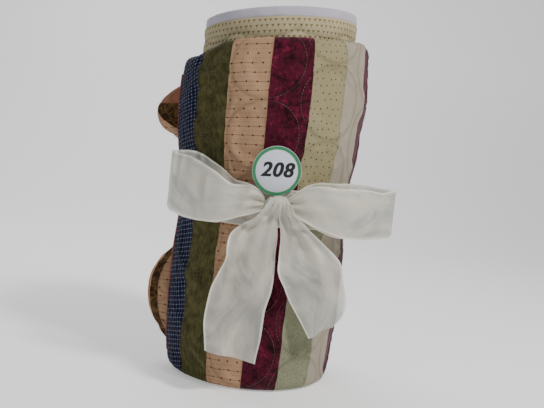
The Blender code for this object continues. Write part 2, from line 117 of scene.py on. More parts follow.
def height(share):
    return BAND_MID * share if share < 1 else BAND_MID + (WALL_TOP - BAND_MID) * (share - 1)


def share_of(z):
    return np.where(z < BAND_MID, z / BAND_MID, 1 + (z - BAND_MID) / (WALL_TOP - BAND_MID))


def spline(points, count, even=True):
    """A smooth curve through points, as count samples at even spacing or at even shares between points."""
    p = np.array(points, float)
    n = len(p)
    knots = np.arange(n)
    tangent = np.gradient(p, axis=0)
    t = np.linspace(0, n - 1, max(count, 40 * n) if even else count)
    i = np.minimum(t.astype(int), n - 2)
    f = (t - knots[i])[:, None]
    a, b, ta, tb = p[i], p[i + 1], tangent[i], tangent[i + 1]
    q = (2 * f**3 - 3 * f**2 + 1) * a + (f**3 - 2 * f**2 + f) * ta
    q += (3 * f**2 - 2 * f**3) * b + (f**3 - f**2) * tb
    if not even:
        return q
    run = lengths(q)
    want = np.linspace(0, run[-1], count)
    return np.stack([np.interp(want, run, q[:, k]) for k in range(q.shape[1])], 1)


def dense_waist():
    """The waist profile sampled once, by the same curve as the frame's."""
    zs, rs = [height(row[0]) for row in WAIST], [row[1] for row in WAIST]
    out_z = np.linspace(zs[0], zs[-1], 461)
    slopes = [0.0]
    slopes += [(rs[i + 1] - rs[i - 1]) / (zs[i + 1] - zs[i - 1]) for i in range(1, len(zs) - 1)] + [0.0]
    out = []
    for z in out_z:
        i = min(max(int(np.searchsorted(zs, z)) - 1, 0), len(zs) - 2)
        span = zs[i + 1] - zs[i]
        t = (z - zs[i]) / span
        value = (2 * t**3 - 3 * t**2 + 1) * rs[i] + (t**3 - 2 * t**2 + t) * span * slopes[i]
        out.append(value + (3 * t**2 - 2 * t**3) * rs[i + 1] + (t**3 - t**2) * span * slopes[i + 1])
    return out_z, np.array(out)


WAIST_Z, WAIST_R = dense_waist()


def waist(z):
    return np.interp(z, WAIST_Z, WAIST_R)


def roll_radius(theta):
    return ROLL_RADIUS - TURN_PITCH * (theta - FREE_END) / 360


def angle(station):
    along = np.asarray(station, float) - FOLD_FROM
    back = FOLD_FROM + (FOLD_CREST - FOLD_FROM) * along / FOLD_SPLIT
    rise = (along - FOLD_SPLIT) / (40 - FOLD_SPLIT) * math.pi / 2
    front = FOLD_CREST + (FOLD_TO - FOLD_CREST) * np.sin(rise)
    return np.where(along <= 0, FOLD_FROM + along, np.where(along <= FOLD_SPLIT, back, front))


def ear(station, z):
    along = np.asarray(station, float) - FOLD_FROM
    full = np.where(
        along > FOLD_SPLIT,
        np.cos(np.clip((along - FOLD_SPLIT) / (40 - FOLD_SPLIT), 0, 1) * math.pi / 2),
        smooth(along / FOLD_SPLIT),
    )
    up = share_of(z)
    rise = sum(a * np.maximum(1 - (np.abs(up - mid) / half) ** 2.2, 0) for mid, half, a in EARS)
    return np.where(along <= 0, 0.0, full * rise)


def place(theta, depth, z, swell=0.0):
    r = (roll_radius(theta) - depth) * waist(z) + swell
    a = np.radians(theta)
    x = AXIS_X + r * np.sin(a)
    up = z + TOP_TILT * x * smooth((z - BAND_MID - TILT_FROM) / TILT_OVER)
    return together(x, -r * np.cos(a), up)


def seam(index):
    first, whole = roll_radius(FIRST_SEAM), math.radians(FOLD_FROM - FIRST_SEAM)
    shrink = TURN_PITCH / (4 * math.pi)
    cloth = (first * whole - shrink * whole**2) * index / STRIPS
    turned = (first - math.sqrt(first**2 - 4 * shrink * cloth)) / (2 * shrink)
    return FIRST_SEAM + math.degrees(turned)


def noise(x, y, seed, octaves=3):
    """Smooth repeatable noise from sums of turned sines, about -1 to 1."""
    rng = np.random.default_rng(seed)
    total, amount, scale = 0.0, 1.0, 1.0
    for _ in range(octaves):
        for _ in range(4):
            a, phase = rng.uniform(0, 2 * math.pi, 2)
            k = scale * rng.uniform(0.7, 1.3)
            total = total + amount * 0.35 * np.sin(k * (x * math.cos(a) + y * math.sin(a)) + phase)
        amount, scale = amount * 0.5, scale * 2.1
    return total


def circle_gap(u, v):
    """Distance to the nearest stitched circle, on the flat cloth."""
    column = np.round((u - CIRCLE_U) / CIRCLE_DU)
    best = np.full(np.broadcast(u, v).shape, 1.0)
    for dc in (-1, 0, 1):
        c = column + dc
        cu = CIRCLE_U + c * CIRCLE_DU
        cv = CIRCLE_V - CIRCLE_DROP * np.mod(c, 2)
        row = np.round((v - cv) / CIRCLE_DV)
        for dr in (-1, 0, 1):
            d = np.hypot(u - cu, v - cv - (row + dr) * CIRCLE_DV) - CIRCLE
            best = np.minimum(best, np.abs(d))
    return best


# ---- mesh helpers ---------------------------------------------------------------------------------
def add(mesh):
    obj = bpy.data.objects.new(mesh.name, mesh)
    bpy.context.scene.collection.objects.link(obj)
    return obj


def grid_piece(name, points, uv, material, crease_shade=None, ring=False, flip=False):
    """A sheet over a grid of points, with its flat coordinates in metres as the map named cloth."""
    n, m = points.shape[:2]
    ids = np.arange(n * m).reshape(n, m)
    if ring:
        ids = np.vstack([ids, ids[:1]])
    quads = np.stack([ids[:-1, :-1], ids[1:, :-1], ids[1:, 1:], ids[:-1, 1:]], -1).reshape(-1, 4)
    if flip:
        quads = quads[:, ::-1]
    mesh = bpy.data.meshes.new(name)
    mesh.from_pydata(points.reshape(-1, 3).tolist(), [], quads.tolist())
    flat = uv.reshape(-1, 2)
    if ring:
        last = np.arange(n * m, n * m + m)
        high = np.vstack([flat, flat[:m] + [uv[-1, 0, 0] + (uv[-1, 0, 0] - uv[-2, 0, 0]), 0]])
        corner = quads.copy()
        wrap = slice((n - 1) * (m - 1), n * (m - 1))
        corner[wrap] = np.where(corner[wrap] < m, last[corner[wrap] % m], corner[wrap])
        flat, loops = high, corner.reshape(-1)
    else:
        loops = quads.reshape(-1)
    layer = mesh.uv_layers.new(name="cloth")
    layer.data.foreach_set("uv", flat[loops].astype(np.float32).reshape(-1))
    # a mask of painted shade along creases and seams, kept as a point attribute for the material
    if crease_shade is not None:
        made = mesh.attributes.new("crease_shade", "FLOAT", "POINT")
        made.data.foreach_set("value", crease_shade.astype(np.float32).reshape(-1))
    mesh.shade_smooth()
    mesh.materials.append(material)
    obj = add(mesh)
    return obj


def normals(points, sign=1.0):
    du, dv = np.gradient(points, axis=0), np.gradient(points, axis=1)
    n = np.cross(du, dv) * sign
    return n / np.maximum(np.linalg.norm(n, axis=2), 1e-12)[..., None]


def run_along(points, axis):
    """Distance along a grid's rows (axis 0) or columns (axis 1)."""
    step = np.linalg.norm(np.diff(points, axis=axis), axis=2)
    pad = [(1, 0), (0, 0)] if axis == 0 else [(0, 0), (1, 0)]
    return np.cumsum(np.pad(step, pad), axis=axis)


def sample(values, i, j):
    """Values of a grid at fractional places."""
    n, m = values.shape[:2]
    i, j = np.clip(i, 0, n - 1.0001), np.clip(j, 0, m - 1.0001)
    a, b = i.astype(int), j.astype(int)
    f, g = smooth(i - a)[..., None], smooth(j - b)[..., None]
    low = values[a, b] * (1 - f) + values[a + 1, b] * f
    high = values[a, b + 1] * (1 - f) + values[a + 1, b + 1] * f
    return low * (1 - g) + high * g


# ---- the patchwork's surface -----------------------------------------------------------------------
INSIDE = [(0.0180, 0.0025), (0.0222, 0.0095), (RIDGE, 0.0215), (RIDGE, 0.0600)]
PROFILE = [(RIDGE, 0.0500), (RIDGE, 0.0200), (RIDGE - 0.0015, 0.0060), (0.0178, 0.0012), (0.0130, 0.0008)]
PROFILE += [*FOOT, *((0.0, z) for z in np.linspace(0.045, WALL_TOP - 0.014, 12))]
PROFILE += [(d, ROLL_HEIGHT + TOP_PUFF * (1 - drop / 0.06) - drop) for d, drop in [*CROWN, *INSIDE]]
LEVELS = 300
CURVE = spline(PROFILE, LEVELS)  # depth and z from inside the foot, up the wall, to inside the crown
CURVE[:, 1] = np.maximum(CURVE[:, 1], 0.0006)
CURVE_RUN = lengths(CURVE)
MIDDLE = int(np.argmin(np.abs(CURVE[:, 1] - BAND_MID) + CURVE[:, 0]))
CURVE_V = CURVE_RUN - CURVE_RUN[MIDDLE] + BAND_MID
FIRST_STATION, FRONT_STATION = FIRST_SEAM, FOLD_FROM + 39.6


def column_stations():
    """Stations of the fine grid's columns: even cloth round the wall, then even cloth over the folds."""
    at = np.linspace(FIRST_STATION, FRONT_STATION, 2400)
    mid = place(angle(at), 0.0, height(EARS[0][0]), ear(at, height(EARS[0][0])))
    run = lengths(mid)
    count = int(run[-1] / FINE)
    return np.interp(np.linspace(0, run[-1], count), run, at)


STATIONS = column_stations()


def skin_base(stations, rows):
    """The patchwork's plain surface for stations (n) at fractional rows (m) of the profile."""
    depth = np.interp(rows, np.arange(LEVELS), CURVE[:, 0])
    z = np.interp(rows, np.arange(LEVELS), CURVE[:, 1])
    at = stations[:, None] if stations.ndim == 1 else stations
    shape = np.broadcast(at, z).shape
    depth, z = np.broadcast_to(depth, shape), np.broadcast_to(z, shape)
    lift = 0.0007 * waist(z)
    theta = angle(np.broadcast_to(at, shape))
    slack = smooth((-34 - theta) / 40) + smooth((theta - 236) / 38)
    z = z - SHOULDER * slack * smooth((z - 0.36) / 0.08)
    return place(theta, depth, z, ear(at, z) + lift)


BASE = skin_base(STATIONS, np.arange(LEVELS))
FLAT_U = run_along(BASE, 0)
FRONT = np.interp(0.0, STATIONS, np.arange(len(STATIONS)))
ORIGIN = np.array([np.interp(FRONT, np.arange(len(STATIONS)), FLAT_U[:, j]) for j in range(LEVELS)])
BLEND_U = FLAT_U - ORIGIN[None, :]
# the wall is cut as a straight strip, so one flat width serves every height there
WALL_U = np.radians(STATIONS) * roll_radius(0.0)
OVER = np.clip((STATIONS - FOLD_FROM) / 6, 0, 1)[:, None]
START = int(np.searchsorted(STATIONS, FOLD_FROM))
FLAT_U = WALL_U[:, None] * (1 - OVER) + (WALL_U[START] + BLEND_U - BLEND_U[START]) * OVER


def band_press(z):
    """0 under the ribbon, rising to 1 away from it."""
    return smooth((np.abs(z - BAND_MID) - BAND_HALF * 0.9) / 0.018)


def edge_free(j):
    """0 where the cloth turns inside the roll, so that it stays in its gap."""
    return smooth((j - 24) / 16) * smooth((LEVELS - 24 - j) / 14)


def simulate_skin():
    """Puff between the quilting lines, from a cloth simulation pinned along them."""
    every = max(int(round(GRID / FINE)), 1)
    points = BASE[::every, ::every]
    u, v = FLAT_U[::every, ::every], np.broadcast_to(CURVE_V[None, ::every], FLAT_U[::every, ::every].shape)
    rows = np.arange(LEVELS)[::every]
    nor = normals(points, -1.0)
    z = CURVE[::every, 1]
    pinned = circle_gap(u, v) < GRID * 0.55
    pinned |= (band_press(z) < 0.5)[None, :] | (edge_free(rows) < 0.5)[None, :]
    pinned[:2] = pinned[-2:] = True
    puffed = PUFF * (1 - np.exp(-((circle_gap(u, v) / 0.009) ** 1.3)))
    puffed = puffed * band_press(z)[None, :] * edge_free(rows)[None, :]
    start = points + nor * (puffed * 0.35 + 0.0002 * noise(u * 260, v * 260, 3))[..., None]
    mesh = bpy.data.meshes.new("skin_sim")
    n, m = points.shape[:2]
    ids = np.arange(n * m).reshape(n, m)
    quads = np.stack([ids[:-1, :-1], ids[:-1, 1:], ids[1:, 1:], ids[1:, :-1]], -1).reshape(-1, 4)
    mesh.from_pydata(start.reshape(-1, 3).tolist(), [], quads.tolist())
    obj = add(mesh)
    group = obj.vertex_groups.new(name="pins")
    group.add([int(k) for k in np.flatnonzero(pinned.reshape(-1))], 1.0, "REPLACE")
    cloth = obj.modifiers.new("cloth", "CLOTH")
    s = cloth.settings
    s.quality = 4
    s.mass = 0.15
    s.tension_stiffness = s.compression_stiffness = 18
    s.shear_stiffness = 8
    s.bending_stiffness = 0.25
    s.vertex_group_mass = "pins"
    s.pin_stiffness = 1.0
    s.shrink_min = -0.030
    s.use_pressure = True
    s.uniform_pressure_force = 2.0
    s.effector_weights.gravity = 0.0
    cloth.collision_settings.use_collision = False
    cloth.point_cache.frame_start, cloth.point_cache.frame_end = 1, 14
    scene = bpy.context.scene
    for number in range(1, 15):
        scene.frame_set(number)
    seen = obj.evaluated_get(bpy.context.evaluated_depsgraph_get()).to_mesh()
    out = np.empty(n * m * 3, np.float32)
    seen.vertices.foreach_get("co", out)
    scene.frame_set(1)
    bpy.data.objects.remove(obj, do_unlink=True)
    moved = out.reshape(n, m, 3).astype(float) - points
    inner = (moved[:-2, 1:-1] + moved[2:, 1:-1] + moved[1:-1, :-2] + moved[1:-1, 2:]) / 4
    moved[1:-1, 1:-1] = moved[1:-1, 1:-1] * 0.6 + inner * 0.4
    out_by = (moved * nor).sum(2)
    side = moved - out_by[..., None] * nor
    out_by = np.clip(out_by, 0, PUFF * 1.25)
    free = (band_press(z)[None, :] * edge_free(rows)[None, :])[..., None]
    return (out_by[..., None] * nor + np.clip(side, -0.0015, 0.0015)) * free, every


SWELL, EVERY = simulate_skin()
OUTWARD = normals(BASE, -1.0)


def skin(i, j, ditch=None):
    """The finished patchwork surface, its flat place and its painted crease shade, at fractional grid places.
    """
    stations = np.interp(i, np.arange(len(STATIONS)), STATIONS)
    points = skin_base(stations, j)
    u, v = sample(FLAT_U[..., None], i, j)[..., 0], np.interp(j, np.arange(LEVELS), CURVE_V)
    gap = circle_gap(u, v)
    nor = sample(OUTWARD, i, j)
    pressed = smooth(gap / 0.0042)
    moved = sample(SWELL, i / EVERY, j / EVERY) * pressed[..., None]
    z = np.interp(j, np.arange(LEVELS), CURVE[:, 1])
    free = band_press(z) * edge_free(j)
    wrinkle = 0.00030 * noise(u * 150, v * 110, 11) + 0.00016 * noise(u * 420, v * 380, 12)
    wrinkle = wrinkle * (0.45 + 0.9 * np.exp(-((gap - 0.006) / 0.006) ** 2)) * free
    folds = 0.0010 * noise(u * 30, v * 26, 13) * free
    out = wrinkle + folds
    # painted shade along the stitched circles
    crease_shade = np.exp(-((gap / 0.0022) ** 2)) * free
    if ditch is not None:
        out = out - SEAM_DITCH * np.exp(-((ditch / 0.0016) ** 2)) * (0.4 + 0.6 * free)
        # painted shade in the seam ditches
        crease_shade = np.maximum(crease_shade, 0.75 * np.exp(-((ditch / 0.0012) ** 2)))
    return points + moved + nor * out[..., None], np.stack([u, v], -1), crease_shade


def station_to_column(station):
    return np.interp(station, STATIONS, np.arange(len(STATIONS)))


# ---- materials --------------------------------------------------------------------------------------
class Value:
    """A number in a material's node tree that takes ordinary arithmetic."""

    def __init__(self, tree, out):
        self.tree, self.out = tree, out

    def math(self, kind, *others):
        node = self.tree.nodes.new("ShaderNodeMath")
        node.operation = kind
        self.tree.links.new(self.out, node.inputs[0])
        for k, other in enumerate(others):
            if isinstance(other, Value):
                self.tree.links.new(other.out, node.inputs[k + 1])
            else:
                node.inputs[k + 1].default_value = other
        return Value(self.tree, node.outputs[0])

    def __add__(self, other):
        return self.math("ADD", other)

    __radd__ = __add__

    def __sub__(self, other):
        return self.math("SUBTRACT", other)

    def __rsub__(self, other):
        return (self * -1) + other

    def __mul__(self, other):
        return self.math("MULTIPLY", other)

    __rmul__ = __mul__

    def __truediv__(self, other):
        return self.math("DIVIDE", other)

    def floor(self):
        return self.math("FLOOR")

    def fract(self):
        return self.math("FRACT")

    def abs(self):
        return self.math("ABSOLUTE")

    def sin(self):
        return self.math("SINE")

    def low(self, other):
        return self.math("MINIMUM", other)

    def high(self, other):
        return self.math("MAXIMUM", other)

    def power(self, other):
        return self.math("POWER", other)

    def band(self, a, b):
        """0 at a and 1 at b, smoothly."""
        node = self.tree.nodes.new("ShaderNodeMapRange")
        node.interpolation_type = "SMOOTHSTEP"
        flip = a > b
        self.tree.links.new(self.out, node.inputs["Value"])
        node.inputs["From Min"].default_value = min(a, b)
        node.inputs["From Max"].default_value = max(a, b)
        node.inputs["To Min"].default_value = 1.0 if flip else 0.0
        node.inputs["To Max"].default_value = 0.0 if flip else 1.0
        return Value(self.tree, node.outputs["Result"])


class Cloth:
    """A material under construction, with the cloth's flat coordinates in metres."""

    def __init__(self, name):
        self.material = bpy.data.materials.new(name)
        self.material.use_nodes = True
        self.tree = self.material.node_tree
        self.shader = self.tree.nodes["Principled BSDF"]
        uv = self.tree.nodes.new("ShaderNodeUVMap")
        uv.uv_map = "cloth"
        split = self.tree.nodes.new("ShaderNodeSeparateXYZ")
        self.tree.links.new(uv.outputs[0], split.inputs[0])
        self.u, self.v = Value(self.tree, split.outputs[0]), Value(self.tree, split.outputs[1])
        self.uv = uv.outputs[0]

    def pair(self, x, y, z=0.0):
        node = self.tree.nodes.new("ShaderNodeCombineXYZ")
        for k, value in enumerate((x, y, z)):
            if isinstance(value, Value):
                self.tree.links.new(value.out, node.inputs[k])
            else:
                node.inputs[k].default_value = value
        return node.outputs[0]

    def random(self, x, y, seed=0.0):
        node = self.tree.nodes.new("ShaderNodeTexWhiteNoise")
        node.noise_dimensions = "3D"
        self.tree.links.new(self.pair(x, y, seed), node.inputs["Vector"])
        return Value(self.tree, node.outputs["Value"])

    def noise(self, scale, detail=3.0, rough=0.55, stretch=(1.0, 1.0), seed=0.0, warp=0.0):
        node = self.tree.nodes.new("ShaderNodeTexNoise")
        node.inputs["Scale"].default_value = scale
        node.inputs["Detail"].default_value = detail
        node.inputs["Roughness"].default_value = rough
        node.inputs["Distortion"].default_value = warp
        self.tree.links.new(self.pair(self.u * stretch[0], self.v * stretch[1], seed), node.inputs["Vector"])
        return Value(self.tree, node.outputs["Fac"])

    def cells(self, scale, feature="F1", seed=0.0):
        node = self.tree.nodes.new("ShaderNodeTexVoronoi")
        node.feature = feature
        node.inputs["Scale"].default_value = scale
        self.tree.links.new(self.pair(self.u, self.v, seed), node.inputs["Vector"])
        return Value(self.tree, node.outputs["Distance"])

    def mix(self, a, b, share):
        node = self.tree.nodes.new("ShaderNodeMix")
        node.data_type = "RGBA"
        sockets = [s for s in node.inputs if s.type == "RGBA"]
        for value, socket in ((a, sockets[0]), (b, sockets[1])):
            if isinstance(value, tuple):
                socket.default_value = (*value, 1.0)
            else:
                self.tree.links.new(value, socket)
        if isinstance(share, Value):
            self.tree.links.new(share.out, node.inputs[0])
        else:
            node.inputs[0].default_value = share
        return [s for s in node.outputs if s.type == "RGBA"][0]

    def attribute(self, name):
        node = self.tree.nodes.new("ShaderNodeAttribute")
        node.attribute_name = name
        return Value(self.tree, node.outputs["Fac"])

    def finish(self, colour, roughness=0.9, sheen=0.02, weave=0.0006, relief=0.00002, crease_shade=0.30, slub=0.10):
        """Weave, thread tone, painted shade in creases and ditches, and a soft sheen over a print."""
        warp = (self.u * (2 * math.pi / weave)).sin()
        weft = (self.v * (2 * math.pi / weave)).sin()
        thread = self.noise(900.0, 2.0, 0.6, (1.0, 0.22)) * 0.5
        thread = thread + self.noise(900.0, 2.0, 0.6, (0.22, 1.0)) * 0.5
        cloud = self.noise(38.0, 4.0, 0.6, seed=4.0)
        shade = (thread - 0.5) * (slub * 1.6) + (cloud - 0.5) * slub + 1.0
        # painted shade: the print is darkened where the mesh marks creases, ditches and folded edges
        if crease_shade:
            shade = shade * (1.0 - self.attribute("crease_shade") * crease_shade)
        toned = self.tree.nodes.new("ShaderNodeVectorMath")
        toned.operation = "SCALE"
        self.tree.links.new(colour, toned.inputs[0])
        self.tree.links.new(shade.out, toned.inputs["Scale"])
        self.tree.links.new(toned.outputs[0], self.shader.inputs["Base Color"])
        rise = warp * weft * relief + (thread - 0.5) * 0.00012 + (self.noise(260.0, 3.0) - 0.5) * 0.00022
        bump = self.tree.nodes.new("ShaderNodeBump")
        bump.inputs["Strength"].default_value = 0.9
        bump.inputs["Distance"].default_value = 1.0
        self.tree.links.new(rise.out, bump.inputs["Height"])
        self.tree.links.new(bump.outputs[0], self.shader.inputs["Normal"])
        rough = self.noise(60.0, 3.0, seed=9.0) * 0.1 + (roughness - 0.05)
        self.tree.links.new(rough.out, self.shader.inputs["Roughness"])
        self.shader.inputs["Sheen Weight"].default_value = sheen
        self.shader.inputs["Sheen Roughness"].default_value = 0.5
        self.shader.inputs["Specular IOR Level"].default_value = 0.12
        return self.material


def rgb(code):
    """A linear colour from a hex code."""
    out = []
    for k in (0, 2, 4):
        c = int(code[k : k + 2], 16) / 255
        out.append(c / 12.92 if c <= 0.04045 else ((c + 0.055) / 1.055) ** 2.4)
    return tuple(out)


def navy_check():
    c = Cloth("navy_check")
    pitch, lean = 0.0060, 0.10
    x, y = (c.u + c.v * lean) / pitch, (c.v - c.u * lean * 2.2) / pitch
    across, up = (x.fract() - 0.5).abs(), (y.fract() - 0.5).abs()
    stitch = (c.v * (2 * math.pi / 0.0013)).sin().band(-0.7, 0.1)
    dash = (c.u * (2 * math.pi / 0.0013)).sin().band(-0.7, 0.1)
    lines = (across.band(0.10, 0.045) * stitch).high(up.band(0.10, 0.045) * dash)
    knot = (across * across + up * up).band(0.030, 0.008)
    ground = c.mix(rgb("080b1a"), rgb("12172f"), c.noise(220.0, 3.0))
    body = c.mix(ground, rgb("59607c"), lines * 0.7)
    return c.finish(c.mix(body, rgb("878da5"), knot * 0.8))


def olive_cotton():
    c = Cloth("olive_cotton")
    tone = c.noise(55.0, 5.0, 0.65) * 0.6 + c.noise(330.0, 2.0, 0.5, (1.0, 0.3)) * 0.4
    body = c.mix(rgb("323019"), rgb("575433"), tone.band(0.34, 0.66))
    return c.finish(body, slub=0.16)


def tan_print():
    c = Cloth("tan_print")
    row = (c.v / 0.0058).floor()
    off = (c.v / 0.0058).fract() - 0.5
    major = (row * 0.5).fract().band(0.3, 0.2)
    drift = c.random(row, 3.0) * 0.35
    along = c.u / 0.0128 + row * 0.17 + drift
    x = (along.fract() - 0.5) * 0.0128
    y = off * 0.0058
    dot = (x.abs() + y.abs()).band(0.00185, 0.00120) * major
    line = y.abs().band(0.00042, 0.00020) * major * (along * 0.37 + row * 0.5).sin().band(-0.75, -0.55)
    dash = y.abs().band(0.00036, 0.00016) * (1.0 - major)
    dash = dash * ((c.u / 0.0040 + c.random(row, 7.0) * 3.0).fract()).band(0.62, 0.52)
    rib = (c.u * (2 * math.pi / 0.0022)).sin() * 0.5 + 0.5
    ground = c.mix(rgb("97765b"), rgb("ae8e70"), c.noise(70.0, 4.0) * 0.7 + rib * 0.3)
    body = c.mix(ground, rgb("4c2f20"), line * 0.80 + dash * 0.5)
    return c.finish(c.mix(body, rgb("3f2015"), dot * 0.9), crease_shade=0.22)


def burgundy_mottle():
    c = Cloth("burgundy_mottle")
    cloud = c.noise(58.0, 6.0, 0.68, warp=0.6)
    fine = c.noise(210.0, 4.0, 0.6, (1.0, 1.0), 2.0)
    tone = cloud * 0.62 + fine * 0.38
    body = c.mix(rgb("190309"), rgb("470a20"), tone.band(0.38, 0.53))
    body = c.mix(body, rgb("781a3d"), tone.band(0.53, 0.66))
    return c.finish(body, sheen=0.1, slub=0.14)


def dotted(name, ground_a, ground_b, spot, cell, radius, faint):
    c = Cloth(name)
    row = (c.v / cell).floor()
    shift = (row * 0.5).fract()
    across = c.u / (cell * 1.05) + shift
    column = across.floor()
    jx, jy = (c.random(column, row, 1.0) - 0.5) * 0.46, (c.random(column, row, 2.0) - 0.5) * 0.46
    x = (across.fract() - 0.5 + jx) * cell
    y = ((c.v / cell).fract() - 0.5 + jy) * cell
    gap = (x * x + y * y).power(0.5)
    dot = gap.band(radius * 1.25, radius * 0.75)
    ground = c.mix(ground_a, ground_b, c.noise(26.0, 4.0, 0.6))
    small = c.cells(150.0, seed=5.0).band(0.16, 0.08) * faint
    body = c.mix(ground, spot, small)
    return c.finish(c.mix(body, spot, dot * 0.9), crease_shade=0.22)


def green_speckle():
    c = Cloth("green_speckle")
    specks = c.cells(430.0).band(0.36, 0.20)
    leaves = c.noise(420.0, 3.0, 0.7).band(0.52, 0.62)
    ground = c.mix(rgb("75775f"), rgb("8c8d73"), c.noise(80.0, 3.0))
    body = c.mix(ground, rgb("3f4436"), specks * 0.6)
    return c.finish(c.mix(body, rgb("6d7460"), leaves * 0.6), crease_shade=0.25)


def cream_cotton():
    c = Cloth("cream_cotton")
    return c.finish(c.mix(rgb("8f8677"), rgb("a69d8e"), c.noise(45.0, 5.0)), crease_shade=0.20, slub=0.07)


def brown_print():
    c = Cloth("brown_print")
    veins = c.cells(95.0, "DISTANCE_TO_EDGE").band(0.10, 0.03)
    petals = c.cells(52.0, seed=3.0).band(0.42, 0.18) * c.noise(300.0, 2.0).band(0.42, 0.55)
    ground = c.mix(rgb("241609"), rgb("3f2a17"), c.noise(120.0, 4.0))
    body = c.mix(ground, rgb("6e5230"), veins * 0.55)
    return c.finish(c.mix(body, rgb("7d6440"), petals * 0.45))


def peach_print(name="peach_print", low="a17553", high="b88b68"):
    c = Cloth(name)
    marks = c.cells(210.0, seed=8.0).band(0.20, 0.10)
    ground = c.mix(rgb(low), rgb(high), c.noise(60.0, 4.0))
    return c.finish(c.mix(ground, rgb("7b4f36"), marks * 0.45), crease_shade=0.22)


def leaf_sprigs():
    """The backing: pairs of small leaves in staggered rows on cream."""
    c = Cloth("leaf_sprigs")
    tall, wide = 0.0074, 0.0086
    row = (c.v / tall).floor()
    across = c.u / wide + (row * 0.5).fract()
    x = (across.fract() - 0.5) * wide
    y = ((c.v / tall).fract() - 0.45) * tall
    jitter = (c.random(across.floor(), row) - 0.5) * 0.0012
    wing = (x + jitter).abs()
    a, b = wing * 0.70 + y * 0.71 - 0.0010, wing * -0.71 + y * 0.70
    leaf = ((a / 0.0021) * (a / 0.0021) + (b / 0.00085) * (b / 0.00085)).band(1.25, 0.70)
    stem = (x + jitter).abs().band(0.0005, 0.00025) * y.band(-0.0026, -0.0020) * y.band(0.0008, 0.0002)
    ground = c.mix(rgb("9f9474"), rgb("b5ab8b"), c.noise(34.0, 4.0))
    tint = c.mix(rgb("4f4727"), rgb("6d5531"), c.random(across.floor(), row, 6.0))
    return c.finish(c.mix(ground, tint, leaf.high(stem) * 0.9), crease_shade=0.28)


def plain(name, low, high, sheen=0.2, crease_shade=0.2):
    c = Cloth(name)
    return c.finish(c.mix(rgb(low), rgb(high), c.noise(30.0, 4.0)), sheen=sheen, crease_shade=crease_shade, slub=0.05)


def organza():
    """Sheer ribbon: fine threads that let some light through, with dense satin along both edges."""
    c = Cloth("organza")
    edge = c.attribute("edge")
    tint = c.mix(rgb("d9d6cb"), rgb("e9e6da"), c.noise(24.0, 3.0))
    # painted satin shading: noise lays grey-blue patches of painted shade and warm patches of painted light
    # over the tint
    satin_shade_and_light = c.noise(20.0, 3.0, 0.55, (0.6, 1.0), 7.0, 1.6)
    tint = c.mix(tint, rgb("aeb2b1"), satin_shade_and_light.band(0.52, 0.30) * 0.8)
    tint = c.mix(tint, rgb("efe7d4"), satin_shade_and_light.band(0.52, 0.68) * 0.75)
    tint = c.mix(tint, rgb("fbf8ec"), edge * 0.95)
    thread = (c.u * (2 * math.pi / 0.0009)).sin() * (c.v * (2 * math.pi / 0.0009)).sin()
    crumple = (c.noise(26.0, 3.0, 0.5, (0.55, 1.0), 0.0, 1.4) - 0.5) * 0.0095
    fine = (c.noise(95.0, 3.0, 0.5, (0.4, 1.0), 3.0, 0.8) - 0.5) * 0.0009
    rise = thread * 0.00003 + crumple + fine + edge * 0.0004
    bump = c.tree.nodes.new("ShaderNodeBump")
    bump.inputs["Distance"].default_value = 1.0
    bump.inputs["Strength"].default_value = 0.6
    c.tree.links.new(rise.out, bump.inputs["Height"])
    shader = c.shader
    c.tree.links.new(tint, shader.inputs["Base Color"])
    c.tree.links.new(bump.outputs[0], shader.inputs["Normal"])
    shader.inputs["Roughness"].default_value = 0.36
    shader.inputs["Sheen Weight"].default_value = 0.15
    shader.inputs["Specular IOR Level"].default_value = 0.5
    through = c.tree.nodes.new("ShaderNodeBsdfTranslucent")
    c.tree.links.new(tint, through.inputs["Color"])
    cloth = c.tree.nodes.new("ShaderNodeMixShader")
    cloth.inputs[0].default_value = 0.35
    c.tree.links.new(shader.outputs[0], cloth.inputs[1])
    c.tree.links.new(through.outputs[0], cloth.inputs[2])
    clear = c.tree.nodes.new("ShaderNodeBsdfTransparent")
    final = c.tree.nodes.new("ShaderNodeMixShader")
    dense = edge * 0.15 + (c.noise(9.0, 2.0) - 0.5) * 0.12 + 0.84
    c.tree.links.new(dense.low(1.0).out, final.inputs[0])
    c.tree.links.new(clear.outputs[0], final.inputs[1])
    c.tree.links.new(cloth.outputs[0], final.inputs[2])
    out = next(n for n in c.tree.nodes if n.type == "OUTPUT_MATERIAL")
    c.tree.links.new(final.outputs[0], out.inputs["Surface"])
    return c.material


def card(name, colour, roughness):
    """Coated card: faint fibre mottling under a soft gloss."""
    material = bpy.data.materials.new(name)
    material.use_nodes = True
    tree = material.node_tree
    shader = tree.nodes["Principled BSDF"]
    where = tree.nodes.new("ShaderNodeTexCoord")
    fibre = tree.nodes.new("ShaderNodeTexNoise")
    fibre.inputs["Scale"].default_value = 320.0
    fibre.inputs["Detail"].default_value = 4.0
    tree.links.new(where.outputs["Object"], fibre.inputs["Vector"])
    ramp = tree.nodes.new("ShaderNodeValToRGB")
    ramp.color_ramp.elements[0].color = (*[v * 0.90 for v in colour], 1)
    ramp.color_ramp.elements[1].color = (*[min(v * 1.06, 1) for v in colour], 1)
    tree.links.new(fibre.outputs["Fac"], ramp.inputs["Fac"])
    tree.links.new(ramp.outputs[0], shader.inputs["Base Color"])
    bump = tree.nodes.new("ShaderNodeBump")
    bump.inputs["Strength"].default_value = 0.08
    bump.inputs["Distance"].default_value = 0.0005
    tree.links.new(fibre.outputs["Fac"], bump.inputs["Height"])
    tree.links.new(bump.outputs[0], shader.inputs["Normal"])
    shader.inputs["Roughness"].default_value = roughness
    shader.inputs["Specular IOR Level"].default_value = 0.4
    return material


